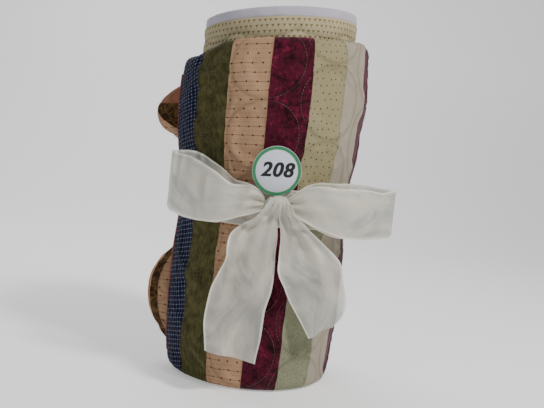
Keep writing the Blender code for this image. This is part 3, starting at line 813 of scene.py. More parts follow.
PRINTS = {
    "navy": navy_check(),
    "olive": olive_cotton(),
    "tan": tan_print(),
    "burgundy": burgundy_mottle(),
    "green": dotted("green_dots", rgb("857c5d"), rgb("989070"), rgb("22211a"), 0.0088, 0.00095, 0.3),
    "speckle": green_speckle(),
    "cream": cream_cotton(),
    "brown": brown_print(),
    "peach": peach_print(),
    "pink": peach_print("rose_tan", "8a5a42", "a2725a"),
    "sprigs": leaf_sprigs(),
    "binding": plain("pale_binding", "a5a1ad", "bdb8c3", 0.05),
    "rose": plain("rose_binding", "693a38", "824f4d", 0.05),
    "thread": plain("quilting_thread", "6f6858", "8d8573", 0.02, 0.0),
    "organza": organza(),
}


# ---- the roll ---------------------------------------------------------------------------------------
def wander(index, v):
    """How far a seam strays from straight, in grid columns."""
    return (0.0007 / FINE) * noise(v * 32 + index * 7.0, 0.0 * v, 20 + index, 2)


def strip_piece(node, name, left, right, print_name, low=None, high=None, tags=(None, None)):
    """One patchwork strip between two seams, as columns that may change with height."""
    wall = np.arange(LEVELS)
    inside = np.ones(LEVELS, bool)
    if low is not None:
        inside &= (CURVE[:, 1] > low) & (wall > MIDDLE * 0.25)
    if high is not None:
        inside &= CURVE[:, 1] < high
        inside &= wall < LEVELS - 40
    middle = slice(40, -40)
    exact = [[] if end is None else [np.interp(end, CURVE[middle, 1], wall[middle])] for end in (low, high)]
    rows = np.concatenate([exact[0], wall[inside].astype(float), exact[1]])
    z = np.interp(rows, wall, CURVE[:, 1])
    v = np.interp(rows, wall, CURVE_V)
    a = station_to_column(left(z) if callable(left) else np.full(len(z), left))
    b = station_to_column(right(z) if callable(right) else np.full(len(z), right))
    if tags[0] is not None:
        a = a + wander(tags[0], v)
    if tags[1] is not None:
        b = b + wander(tags[1], v)
    count = max(int(round(float(np.max(b - a)))), 4) + 1
    share = np.linspace(0, 1, count)
    share = share - 0.35 * np.sin(share * 2 * math.pi) / (2 * math.pi)
    i = a[None, :] + (b - a)[None, :] * share[:, None]
    j = np.broadcast_to(rows[None, :], i.shape)
    side = np.minimum(share, 1 - share)[:, None] * (b - a)[None, :] * FINE
    ditch = side
    if low is not None:
        ditch = np.minimum(ditch, (v - v[0])[None, :])
    if high is not None:
        ditch = np.minimum(ditch, (v[-1] - v)[None, :])
    points, uv, crease_shade = skin(i, j, ditch)
    points[..., 2] = np.maximum(points[..., 2], 0.0002)
    edge_u = uv[:1, :, 0].mean()
    piece = grid_piece(name, points, uv - [edge_u, 0.0], PRINTS[print_name], crease_shade, flip=True)
    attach(piece, "roll")
    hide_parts(node)
    width, long = (uv[-1, :, 0] - uv[0, :, 0]).mean(), v[-1] - v[0]
    area = float(np.abs((uv[1:, :, 0] - uv[:-1, :, 0])).sum(0).mean() * long)


def build_patchwork():
    s = [seam(k) for k in range(STRIPS + 1)]
    mid = BAND_MID
    order = [
        ("strip_navy", "navy"), ("strip_olive", "olive"),
        ("strip_tan", "tan"), ("strip_burgundy", "burgundy"),
        (None, None), ("strip_cream", "cream"), ("strip_wine_side", "burgundy"), ("strip_navy_back", "navy"),
        ("strip_olive_back", "olive"), ("strip_tan_back", "tan"), ("strip_burgundy_back", "burgundy"),
        ("strip_green_back", "green"), ("strip_cream_back", "cream"),
    ]
    for k, (node, print_name) in enumerate(order):
        tags = (k if k else None, k + 1 if k + 1 < STRIPS else None)
        if node:
            strip_piece(node, "patch_" + node[6:], s[k], s[k + 1], print_name, tags=tags)
    strip_piece("strip_green_dots", "patch_green_dots", s[4], s[5], "green", low=mid, tags=(4, 5))
    strip_piece("strip_green_speckle", "patch_green_speckle", s[4], s[5], "speckle", high=mid, tags=(4, 5))
    edge, front = FOLD_FROM + 18, FRONT_STATION
    low, high, pink = height(LOW_EAR_TOP), height(HIGH_EAR_FOOT), height(PINK_FOOT)

    def cut(z):
        return FOLD_FROM + table(CUT, share_of(z))

    strip_piece("strip_brown_back", "patch_brown_back", FOLD_FROM, edge, "brown")
    strip_piece("fold_waist", "patch_fold_waist", edge, front, "peach", low, high)
    strip_piece("fold_low_peach", "patch_low_peach", edge, FOLD_FROM + 26, "peach", None, low)
    strip_piece("fold_low_brown", "patch_low_brown", FOLD_FROM + 26, FOLD_FROM + 30, "brown", None, low)
    strip_piece("fold_low_tan", "patch_low_tan", FOLD_FROM + 30, front, "tan", None, low)
    strip_piece("fold_high_tan", "patch_high_tan", edge, cut, "tan", high, pink)
    strip_piece("fold_high_brown", "patch_high_brown", cut, front, "brown", high, pink)
    strip_piece("fold_high_pink", "patch_high_pink", edge, front, "pink", pink, None)


def build_lining():
    """The inner face of the outer fold, down its gap, which closes the patchwork's tube."""
    theta = np.linspace(FREE_END + 0.5, FREE_END + 359.5, 180)
    z = np.linspace(0.010, ROLL_HEIGHT - 0.030, 60)
    points = place(theta[:, None], RIDGE - 0.0004, z[None, :])
    uv = together(np.radians(theta)[:, None] * 0.1, z[None, :])
    piece = grid_piece("outer_fold_lining", points, uv, PRINTS["sprigs"], np.zeros(points.shape[:2]))
    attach(piece, "roll")
    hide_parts("outer_turn_ridge")


def build_threads():
    """Running stitches along every quilted circle on the patchwork."""
    stitch, pitch, thick = 0.0026, 0.0040, 0.00032
    verts = []
    for c in range(-2, 11):
        cu = CIRCLE_U + c * CIRCLE_DU
        for r in range(-5, 4):
            cv = CIRCLE_V - CIRCLE_DROP * (c % 2) + r * CIRCLE_DV
            total = int(2 * math.pi * CIRCLE / pitch)
            turn = np.arange(total) * 2 * math.pi / total
            half = stitch / 2 / CIRCLE
            for a in turn:
                ring = a + np.array([-half, -half * 0.5, 0.0, half * 0.5, half])
                u, v = cu + CIRCLE * np.cos(ring), cv + CIRCLE * np.sin(ring)
                j = np.interp(v, CURVE_V, np.arange(LEVELS))
                if j[0] < 34 or j[0] > LEVELS - 34:
                    continue
                row = FLAT_U[:, int(j[2])]
                if u[2] < row[1] + 0.003 or u[2] > row[-2] - 0.004:
                    continue
                z = np.interp(j[2], np.arange(LEVELS), CURVE[:, 1])
                if abs(z - BAND_MID) < BAND_HALF + 0.002:
                    continue
                i = np.interp(u, row, np.arange(len(STATIONS)))
                verts.append((i, j))
    i = np.array([v[0] for v in verts])
    j = np.array([v[1] for v in verts])
    centre, uv, _ = skin(i, j)
    nor = sample(OUTWARD, i, j)
    along = np.gradient(centre, axis=1)
    along /= np.linalg.norm(along, axis=2)[..., None]
    side = np.cross(along, nor)
    lift = np.array([-0.0004, 0.00022, 0.00034, 0.00022, -0.0004])[None, :, None]
    centre = centre + nor * lift
    girth = np.array([0.5, 0.95, 1.0, 0.95, 0.5]) * thick
    points = []
    for k in range(5):
        t = 2 * math.pi * k / 5
        points.append(centre + girth[None, :, None] * (math.cos(t) * side + math.sin(t) * nor))
    points = np.stack(points, 2)
    count = len(points)
    ids = np.arange(count * 25).reshape(count, 5, 5)
    nxt = np.roll(ids, -1, axis=2)
    quads = np.stack([ids[:, :-1], ids[:, 1:], nxt[:, 1:], nxt[:, :-1]], -1).reshape(-1, 4)
    mesh = bpy.data.meshes.new("quilting_thread")
    mesh.from_pydata(points.reshape(-1, 3).tolist(), [], quads.tolist())
    layer = mesh.uv_layers.new(name="cloth")
    flat = np.repeat(uv[:, :, None, :], 5, axis=2).reshape(-1, 2)
    layer.data.foreach_set("uv", flat[quads.reshape(-1)].astype(np.float32).reshape(-1))
    mesh.shade_smooth()
    mesh.materials.append(PRINTS["thread"])
    obj = add(mesh)
    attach(obj, "roll")


def leaf_shell(name, first, last, nodes):
    """One padded layer of the quilt along the spiral, from the floor to its bound edge."""
    arc = math.radians(last - first) * 0.1
    theta = np.linspace(first, last, max(int(arc / 0.0022), 40))
    top = CORE_HEIGHT - 0.0006
    depth_out, depth_in = LEAF_OUT, LEAF_IN
    up = np.concatenate([np.linspace(0.006, 0.40, 40)[:-1], np.arange(0.40, top - 0.004, 0.0018)])
    outer = [(depth_out, z) for z in up]
    cap = [(depth_out + 0.0006, top - 0.0022), (depth_out + 0.0022, top - 0.0008)]
    cap += [((depth_out + depth_in) / 2, top - 0.0005)]
    cap += [(depth_in - 0.0022, top - 0.0008), (depth_in - 0.0006, top - 0.0022)]
    foot = [(depth_in - 0.0012, 0.0025), ((depth_out + depth_in) / 2, 0.0010), (depth_out + 0.0012, 0.0025)]
    loop = np.array(outer + cap + [(depth_in, z) for z in up[::-1]] + foot)
    depth, z = loop[:, 0], loop[:, 1]
    n_out = len(outer)
    steps = roll_radius(theta[1:] / 2 + theta[:-1] / 2) * np.radians(np.diff(theta))
    u = np.concatenate([[0], np.cumsum(steps)])
    u = u[:, None] + np.radians(first) * roll_radius(0)
    v = np.broadcast_to(z[None, :], (len(theta), len(z)))
    gap = np.full(v.shape, 1.0)
    column = np.round((u - SCALLOP_U) / SCALLOP_DU)
    for dc in (-1, 0, 1):
        cu = SCALLOP_U + (column + dc) * SCALLOP_DU
        for cz in SCALLOP_Z:
            gap = np.minimum(gap, np.abs(np.hypot(u - cu, v - cz) - SCALLOP))
    line = 0.4585 + 0.0040 * np.sin(u * 2 * math.pi / SCALLOP_DU + 1.0)
    clear = np.hypot(u - SCALLOP_U - column * SCALLOP_DU, v - SCALLOP_Z[0]) > SCALLOP
    gap = np.minimum(gap, np.where(clear, np.abs(v - line), 1.0))
    free = smooth((v - ROLL_HEIGHT + 0.004) / 0.012) * smooth((top - BINDING + 0.001 - v) / 0.003)
    puff = 0.0017 * (1 - np.exp(-((gap / 0.006) ** 1.4))) * free
    puff = puff + (0.0003 * noise(u * 170, v * 150, 31) + 0.0009 * noise(u * 26, v * 20, 32)) * free
    side = np.where(np.arange(len(z)) < n_out, -1.0, np.where(np.arange(len(z)) >= n_out + 5, 1.0, 0.0))
    side[-3:] = 0.0
    points = place(theta[:, None], depth[None, :] + puff * side[None, :], z[None, :])
    points = points + lean_wave(theta)[:, None, :] * smooth((v - ROLL_HEIGHT) / 0.05)[..., None]
    points[..., 2] = np.maximum(points[..., 2], 0.0004)
    # painted shade along the scallop quilting lines and the line below the binding
    crease_shade = np.exp(-((gap / 0.0018) ** 2)) * free
    uv = together(u, v + np.where(side < 0, 0.0, 0.7)[None, :])
    closed = np.concatenate([points, points[:, :1]], 1)
    uv = np.concatenate([uv, uv[:, :1]], 1)
    crease_shade = np.concatenate([crease_shade, crease_shade[:, :1]], 1)
    piece = grid_piece(name, closed, uv, PRINTS["sprigs"], crease_shade, flip=True)
    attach(piece, "roll")
    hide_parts(*nodes)
    flat = (float(u[-1, 0] - u[0, 0]), LEAF_FLAT)


def lean_wave(theta):
    """The standing edge wanders a little, in metres, as soft cloth does."""
    a = np.radians(theta)
    r = 0.0012 * noise(a * 1.7, a * 0, 41, 2)
    up = 0.0011 * noise(a * 1.9, a * 0 + 3, 42, 2) - 0.0008
    return np.stack([r * np.sin(a), -r * np.cos(a), up], -1)


def build_leaf_binding():
    arc = math.radians(LAST - FREE_END) * 0.1
    theta = np.linspace(FREE_END + 0.5, LAST - 0.3, int(arc / 0.0022))
    low, top = CORE_HEIGHT - BINDING, CORE_HEIGHT + 0.0002
    o, i = LEAF_OUT, LEAF_IN
    loop = [(o + 0.0007, low - 0.0003), (o - 0.0004, low + 0.0010)]
    loop += [(o - 0.0008, low + 0.0042), (o - 0.0005, low + 0.0090)]
    loop += [(o + 0.0002, top - 0.0016), (o + 0.0017, top - 0.0003), ((o + i) / 2, top)]
    mirror = [(o + i - d, z) for d, z in loop[:-1]][::-1]
    curve = spline(loop + mirror, 44)
    u = np.radians(theta)[:, None] * 0.11
    wave = 0.00035 * noise(u * 220, curve[None, :, 1] * 60, 51) * smooth((curve[None, :, 1] - low) / 0.004)
    outside = np.where(curve[None, :, 0] < (o + i) / 2, -1, 1)
    depth = np.broadcast_to(curve[None, :, 0], wave.shape) + outside * wave
    points = place(theta[:, None], depth, curve[None, :, 1])
    share = smooth((curve[None, :, 1] - ROLL_HEIGHT) / 0.05)[..., None]
    points = points + lean_wave(theta)[:, None, :] * share
    run = lengths(curve)
    uv = together(u, run[None, :])
    ends = np.minimum(run, run[-1] - run)
    # painted shade where the binding turns under at both edges
    crease_shade = np.broadcast_to(np.exp(-((ends / 0.0012) ** 2))[None, :], points.shape[:2])
    piece = grid_piece("leaf_edge_binding", points, uv, PRINTS["binding"], crease_shade, flip=True)
    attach(piece, "roll")
    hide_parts("leaf_binding")


def build_inner_fold():
    """The inner turns of patchwork: their tops show between the standing leaves."""
    first = FREE_END + 360.3
    curve = [(0.0205, 0.0010), (0.0118, 0.0006), (0.0030, 0.0030)]
    curve += [(0.0, z) for z in (0.0120, 0.13, 0.26, 0.40, 0.418)]
    curve += [(0.0022, 0.437), (0.0118, 0.446), (0.0212, 0.437)]
    curve += [(0.0234, z) for z in (0.418, 0.30, 0.02)]
    loop = spline(curve, 260)
    loop = loop[loop[:, 1] > 0.0]
    run = lengths(loop)
    last = LAST + 359.5
    breaks = [first]
    kinds = ["tan", "pink", "olive", "navy", "cream", "burgundy", "green", "peach", "brown"]
    while breaks[-1] < last:
        r = max(float(roll_radius(breaks[-1])), 0.012)
        breaks.append(breaks[-1] + math.degrees(CUT_STRIP / r))
    breaks = breaks[:-2] + [last]
    for k, (a, b) in enumerate(zip(breaks, breaks[1:])):
        r = max(float(roll_radius((a + b) / 2)), 0.010)
        count = max(int(math.radians(b - a) * r / 0.0022), 10)
        theta = np.linspace(a, b, count)
        room = roll_radius(theta) - 0.0008
        depth = np.minimum(loop[None, :, 0], room[:, None])
        share = np.linspace(0, 1, count)[:, None]
        side = np.minimum(share, 1 - share) * math.radians(b - a) * r
        u = np.radians(theta)[:, None] * r
        z = np.broadcast_to(loop[None, :, 1], depth.shape)
        free = smooth((z - 0.43) / 0.01)
        lift = 0.0006 * noise(u * 120, run[None, :] * 90 + k, 61) * free
        lift = lift - 0.0007 * np.exp(-((side / 0.0016) ** 2)) * free
        points = place(theta[:, None], depth, z + lift)
        points[..., 2] = np.maximum(points[..., 2], 0.0004)
        uv = together(u, run[None, :])
        # painted shade along the seams between inner patches
        crease_shade = np.broadcast_to(0.8 * np.exp(-((side / 0.0012) ** 2)), depth.shape)
        print_name = kinds[k % len(kinds)]
        name = "inner_patch_%02d" % (k + 1)
        piece = grid_piece(name, points, uv, PRINTS[print_name], crease_shade, flip=True)
        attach(piece, "roll")
        if k == 0:
            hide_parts("centre_fold")


def build_free_end():
    """The bound free end: two layers, each with its own rounded binding."""
    z = np.concatenate([np.linspace(0.0235, 0.030, 4)[:-1], np.arange(0.030, WALL_TOP + 0.001, 0.0025)])
    r = ROLL_RADIUS
    wide = math.radians(FREE_END - FIRST_SEAM) * r
    lobe = [(-0.0002, 0.0014), (-0.0010, -0.0006), (-0.0032, -0.0013)]
    lobe += [(wide * 0.86, -0.0007), (wide + 0.0001, 0.0020)]
    lobe += [(wide - 0.0003, 0.0062), (wide + 0.0008, 0.0105)]
    lobe += [(wide + 0.0026, 0.0118), (wide + 0.0008, 0.0131)]
    lobe += [(wide - 0.0003, 0.0172), (wide + 0.0001, 0.0218), (wide + 0.0022, 0.0236)]
    curve = spline(lobe, 56)
    run = lengths(curve)
    wave = 0.00030 * noise(z[None, :] * 230, run[:, None] * 200, 71)
    wave = wave + 0.0004 * noise(z[None, :] * 30, run[:, None], 72)
    theta = FIRST_SEAM - 0.1 + np.degrees(curve[:, 0] / r)
    depth = curve[:, 1][:, None] - wave * 0.6
    points = place(theta[:, None], depth, z[None, :])
    uv = together(run[:, None], z[None, :])
    # painted shade at the start of the binding, where it turns under
    crease_shade = np.broadcast_to(np.exp(-((run[:, None] / 0.0012) ** 2)), points.shape[:2])
    piece = grid_piece("free_end_edge", points, uv, PRINTS["rose"], crease_shade)
    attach(piece, "roll")
    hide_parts("free_end_binding")


# ---- ribbon -------------------------------------------------------------------------------------------
RIBBON_WIDE = 0.065
KNOT_X, KNOT_OUT, KNOT_UP = -0.0040, 0.0127, 0.0050
LOOP_LEFT = (
    (-0.0133, 0.0148, -0.0005, 0.0115, 0.0012), (-0.0233, 0.0186, -0.0050, 0.0190, 0.0033),
    (-0.0395, 0.0223, -0.0110, 0.0245, 0.0060), (-0.0552, 0.0250, -0.0190, 0.0310, 0.0080),
    (-0.0717, 0.0279, -0.0250, 0.0450, 0.0095), (-0.0894, 0.0305, -0.0260, 0.0540, 0.0100),
    (-0.1082, 0.0339, -0.0240, 0.0600, 0.0095), (-0.1258, 0.0378, -0.0200, 0.0610, 0.0078),
    (-0.1417, 0.0418, -0.0150, 0.0605, 0.0048), (-0.1506, 0.0446, -0.0120, 0.0600, 0.0000),
)


LOOP_RIGHT = (
    (0.0159, 0.0133, -0.0005, 0.0115, 0.0012), (0.0272, 0.0164, -0.0060, 0.0205, 0.0033),
    (0.0445, 0.0205, -0.0140, 0.0310, 0.0060), (0.0639, 0.0244, -0.0230, 0.0375, 0.0085),
    (0.0870, 0.0298, -0.0295, 0.0385, 0.0105), (0.1142, 0.0374, -0.0310, 0.0390, 0.0110),
    (0.1438, 0.0472, -0.0305, 0.0400, 0.0100), (0.1730, 0.0579, -0.0295, 0.0390, 0.0078),
    (0.1946, 0.0665, -0.0270, 0.0375, 0.0045), (0.2056, 0.0711, -0.0230, 0.0360, 0.0000),
)
TAIL_LEFT = (
    (-0.0150, -0.0077, -0.0012, -0.0077), (-0.0320, -0.0180, 0.0006, -0.0170),
    (-0.0540, -0.0310, 0.0025, -0.0320), (-0.0600, -0.0480, 0.0028, -0.0490),
    (-0.0605, -0.0660, 0.0026, -0.0680), (-0.0670, -0.0860, 0.0012, -0.0880),
    (-0.0735, -0.1030, -0.0003, -0.1070), (-0.0770, -0.1240, -0.0045, -0.1290),
    (-0.0780, -0.1450, -0.0075, -0.1530), (-0.0762, -0.1630, -0.0092, -0.1750),
    (-0.0742, -0.1790, -0.0100, -0.1940),
)
TAIL_RIGHT = (
    (0.0008, -0.0075, 0.0085, -0.0070), (0.0036, -0.0200, 0.0250, -0.0135),
    (0.0052, -0.0370, 0.0460, -0.0260), (0.0054, -0.0560, 0.0660, -0.0420),
    (0.0052, -0.0770, 0.0840, -0.0590), (0.0150, -0.0950, 0.0940, -0.0840),
    (0.0255, -0.1130, 0.1000, -0.1050), (0.0400, -0.1340, 0.0960, -0.1260),
    (0.0556, -0.1590, 0.0840, -0.1430),
)
TAIL_OUT = (
    (0.0077, 0.0127), (0.017, 0.0145), (0.033, 0.0167), (0.068, 0.0187), (0.128, 0.0182), (0.198, 0.0167),
)
TAIL_BEND = 0.6
KNOT_HALF = (0.0145, 0.0096, 0.0118)
FRONT_Y = -roll_radius(0.0) * waist(BAND_MID)
KNOT = (KNOT_X, FRONT_Y - KNOT_OUT, BAND_MID + KNOT_UP)


def folds(x, y, seed):
    """Soft creases in thin crisp cloth: ridges where smooth noise crosses zero."""
    warp = 0.6 * noise(x * 0.7, y * 0.7, seed + 50, 2)
    a = noise(x + warp, y * 0.8 - warp, seed + 60, 2)
    b = noise(x * 1.9 - warp, y * 1.6 + warp, seed + 70, 2)
    return 1.0 - 1.9 * np.sqrt(a * a + 0.012) + 0.45 * (1.0 - 1.9 * np.sqrt(b * b + 0.02))


def edge_share(v, wide=0.045):
    """1 on the satin edges, 0 on the sheer middle."""
    return smooth((np.abs(v - 0.5) - (0.5 - wide)) / 0.012)


def ribbon_piece(name, points, uv, share, ring=False):
    piece = grid_piece(name, points, uv, PRINTS["organza"], None, ring=ring)
    made = piece.data.attributes.new("edge", "FLOAT", "POINT")
    made.data.foreach_set("value", np.broadcast_to(share, points.shape[:2]).astype(np.float32).reshape(-1))
    return piece


def build_band():
    """The ribbon round the roll, gathered into long soft pleats between its satin edges."""
    co = np.empty(len(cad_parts["ribbon_band"].data.vertices) * 3, np.float32)
    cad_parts["ribbon_band"].data.vertices.foreach_get("co", co)
    co = co.reshape(-1, 3).astype(float)
    theta = np.linspace(-180, 180, 420, endpoint=False)
    v = np.linspace(0, 1, 44)
    rings = []
    levels = np.unique(np.round(co[:, 2], 4))
    for level in levels:
        near = co[np.abs(co[:, 2] - level) < 0.0003]
        at = np.degrees(np.arctan2(near[:, 0] - AXIS_X, -near[:, 1]))
        r = np.hypot(near[:, 0] - AXIS_X, near[:, 1])
        bins = np.round(at / 6.0 - FREE_END / 6.0).astype(int)
        angles, radii = [], []
        for k in np.unique(bins):
            mine = bins == k
            angles.append(at[mine].mean())
            radii.append(r[mine].max())
        order = np.argsort(angles)
        angles, radii = np.array(angles)[order], np.array(radii)[order]
        rings.append(np.interp(theta, angles, radii, period=360))
    z = BAND_MID - BAND_HALF + 2 * BAND_HALF * v
    base = np.array([np.interp(z, levels, [ring[k] for ring in rings]) for k in range(len(theta))])
    a = np.radians(theta)[:, None]
    pleat = np.sin(2 * math.pi * (3.4 * v[None, :] + 0.35 * np.sin(a * 2 + 0.6)) + 0.8 * np.sin(a * 3))
    pleat = 0.5 + 0.5 * pleat
    swell = 0.0011 * pleat**2 * smooth(v * 9)[None, :] * smooth((1 - v) * 9)[None, :]
    swell = swell + 0.0003 * noise(np.cos(a) * 9, v[None, :] * 12 + np.sin(a) * 9, 81)
    r = base + 0.0002 + swell
    wave = 0.0008 * np.sin(3 * a) + 0.0005 * np.sin(7 * a + 1)
    up = z[None, :] + wave * (2 * np.abs(v - 0.5)[None, :])
    points = np.stack([AXIS_X + r * np.sin(a), -r * np.cos(a), np.broadcast_to(up, r.shape)], -1)
    uv = together(np.radians(theta + 180)[:, None] * 0.117, v[None, :] * RIBBON_WIDE)
    piece = ribbon_piece("ribbon_round_roll", points, uv, edge_share(v)[None, :], ring=True)
    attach(piece, "roll")
    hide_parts("ribbon_band")


def build_knot():
    lat = np.linspace(0.04, math.pi - 0.04, 56)[:, None]
    lon = np.linspace(0, 2 * math.pi, 84, endpoint=False)[None, :]
    pleat = 1 + 0.07 * np.sin(lat * 9 + 0.8 * np.sin(lon)) * np.sin(lat)
    pleat = pleat + 0.03 * noise(lat * 5, np.sin(lon) * 2, 91)
    pinch = 1 - 0.16 * np.exp(-(((lat - 1.45) / 0.5) ** 2)) * (0.5 - 0.5 * np.cos(lon - 0.6))
    r = 0.90 * pleat * pinch * np.sin(lat) ** 0.8
    points = together(
        KNOT[0] + KNOT_HALF[0] * 0.86 * np.cos(lat) * (1 + 0.04 * np.sin(4 * lon)),
        KNOT[1] + KNOT_HALF[1] * r * np.cos(lon),
        KNOT[2] + KNOT_HALF[2] * r * np.sin(lon),
    )
    turned = np.swapaxes(points, 0, 1)
    uv = together(lon * 0.0107, lat * 0.010)
    piece = ribbon_piece("bow_knot", turned, np.swapaxes(uv, 0, 1), np.full((1, 56), 0.0), ring=True)
    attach(piece, "roll")
    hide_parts("ribbon_knot")


def build_loop(node, name, rows, body, seed):
    """A bow loop: front leaf out from the knot and back leaf home, as one ribbon."""
    count = 110
    lane = spline(rows, count, even=False)
    lane = np.vstack([lane, lane[-2::-1]])
    face = np.concatenate([np.ones(count), -np.ones(count - 1)])
    out_y = FRONT_Y - lane[:, 1]
    theta = np.degrees(math.atan2(KNOT_X - AXIS_X, -FRONT_Y)) - np.degrees(lane[:, 0] / out_y)
    r = roll_radius(theta) * waist(BAND_MID) + lane[:, 1]
    x, y = AXIS_X + r * np.sin(np.radians(theta)), -r * np.cos(np.radians(theta))
    path = np.stack([x, y], 1)
    run = np.gradient(path[:count], axis=0)
    run /= np.linalg.norm(run, axis=1)[:, None]
    side = 1 if rows[-1][0] > 0 else -1
    nor = np.stack([run[:, 1], -run[:, 0]], 1) * side
    nor = np.vstack([nor, nor[-2::-1]])
    reach = np.abs(lane[:, 0]) / abs(rows[-1][0])
    v = np.linspace(0, 1, 46)[None, :]
    s = reach[:, None]
    mid = smooth((s - 0.08) / 0.35) * (1 - smooth((s - 0.80) / 0.2))
    front = (face[:, None] > 0).astype(float)
    pouch = np.exp(-(((s - 0.20) / 0.13) ** 2)) * (1.0 if side < 0 else 0.5)
    low = BAND_MID + lane[:, 2][:, None] + 0.0020 * mid * front - 0.0022 * pouch
    high = BAND_MID + lane[:, 3][:, None] - 0.0062 * mid * front + 0.0055 * pouch
    half = lane[:, 4][:, None]
    swell = face[:, None] * half * (1 + 0.35 * (4 * v * (1 - v) - 0.5))
    near = np.exp(-((s / 0.22) ** 2))
    pleats = 0.0026 * near * smooth(s / 0.05) * np.sin(2 * math.pi * (2.6 * v + 0.25 * face[:, None]) + 5 * s)
    soft = 0.0030 * noise(s * 9 + face[:, None] * 3 + 2 * v, v * 3.2, seed)
    soft = soft * smooth(s / 0.12) * (1 - smooth((s - 0.93) / 0.06))
    flutter = 0.0012 * np.sin(s * 16 + seed) * (2 * np.abs(v - 0.5)) ** 3
    flutter = flutter * smooth(s / 0.2) * (1 - smooth((s - 0.9) / 0.1))
    rumple = 0.0030 * folds(s * 7.0 + face[:, None] * 5, v * 2.4 + s * 1.5, seed)
    rumple = rumple * smooth((s - 0.08) / 0.12) * (1 - smooth((s - 0.90) / 0.09))
    off = swell + pleats + soft * 0.8 + flutter + rumple
    z = low + (high - low) * v + 0.0010 * np.sin(s * 11 + seed) * mid * (2 * v - 1)
    points = together(x[:, None] + nor[:, :1] * off, y[:, None] + nor[:, 1:] * off, z)
    long = run_along(points[:, 22:23], 0)[:, 0]
    uv = together(long[:, None], v * RIBBON_WIDE)
    piece = ribbon_piece(name, points, uv, edge_share(v))
    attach(piece, body)
    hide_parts(node)


def build_tail(node, name, rows, seed, lean):
    """A ribbon tail from over the knot down to its slanted cut end."""
    rows = [tuple(row) for row in rows]
    if lean < 0:
        over = [(-0.0065, 0.0166, 0.0030, 0.0174), (-0.0150, 0.0098, 0.0034, 0.0110)]
        over += [(-0.0215, 0.0005, 0.0026, 0.0020)]
        rows[:3] = [(-0.0295, -0.0105, 0.0006, -0.0077), (-0.0430, -0.0215, 0.0010, -0.0170)] + [
            (-0.0560, -0.0335, 0.0025, -0.0320)
        ]
    else:
        over = [(-0.0020, 0.0170, 0.0070, 0.0166), (-0.0018, 0.0100, 0.0125, 0.0094)]
        over += [(-0.0004, 0.0010, 0.0170, 0.0000)]
        rows[:2] = [(0.0010, -0.0075, 0.0240, -0.0085), (0.0036, -0.0200, 0.0340, -0.0165)]
    all_rows = np.array(over + rows)
    lane = spline(all_rows, 170, even=False)
    v = np.linspace(0, 1, 48)[None, :]
    x = lane[:, 0:1] + (lane[:, 2:3] - lane[:, 0:1]) * v
    up = lane[:, 1:2] + (lane[:, 3:4] - lane[:, 1:2]) * v
    drop = -up
    hang = table(TAIL_OUT, drop)
    crown = np.sqrt(np.clip(1 - ((up - KNOT_UP) / (KNOT_HALF[2] * 1.08)) ** 2, 0, 1))
    knot_front = KNOT_OUT + KNOT_HALF[1] * crown + 0.0022
    share = smooth((drop + 0.0005) / 0.016)
    lying = np.where(up > -0.012, knot_front, hang)
    out = lying * (1 - share) + np.maximum(hang, KNOT_OUT + 0.0020) * share
    fall = smooth((drop - 0.010) / 0.05)
    near = np.exp(-((np.maximum(drop, 0) / 0.075) ** 2))
    pleats = 0.0021 * near * np.sin(2 * math.pi * 3.2 * v + seed + drop * 18)
    out = out + pleats * smooth((drop + 0.012) / 0.01)
    out = out + 0.0180 * smooth((np.abs(x) - 0.009) / 0.020) * smooth((up + 0.024) / 0.014)
    out = out + (0.0012 if lean < 0 else 0.0)
    out = np.where(out > 0.030, 0.030 + (out - 0.030) * 0.4, out)
    out = out + fall * 0.0050 * np.sin(2 * math.pi * (drop / 0.068 + 0.45 * v) + seed)
    out = out + fall * 0.0028 * np.sin(2 * math.pi * (1.2 * v + drop / 0.16) + 2 * seed)
    out = out + fall * 0.0014 * noise(v * 4, drop * 38, seed) + 0.0022
    creases = folds(v * 2.2 + drop * 6, drop * 26.0 - v, seed)
    out = out + smooth((drop - 0.004) / 0.03) * (0.0014 + 0.0034 * creases)
    z = BAND_MID + up
    points = together(x, FRONT_Y - out + TAIL_BEND * x * x, z)
    long = run_along(points[:, 24:25], 0)[:, 0]
    uv = together(long[:, None], v * RIBBON_WIDE)
    piece = ribbon_piece(name, points, uv, edge_share(v, 0.035))
    start, end = ((KNOT[0], KNOT[1], KNOT[2] - under) for under in (0.002, 0.030))
    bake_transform(piece)
    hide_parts(node)


# ---- tag ------------------------------------------------------------------------------------------------
TAG_RADIUS, TAG_RING, TAG_THICK = 0.031, 0.0044, 0.0009
TAG_X, TAG_UP, TAG_FOOT_OUT = -0.0055, 0.0160, 0.0076


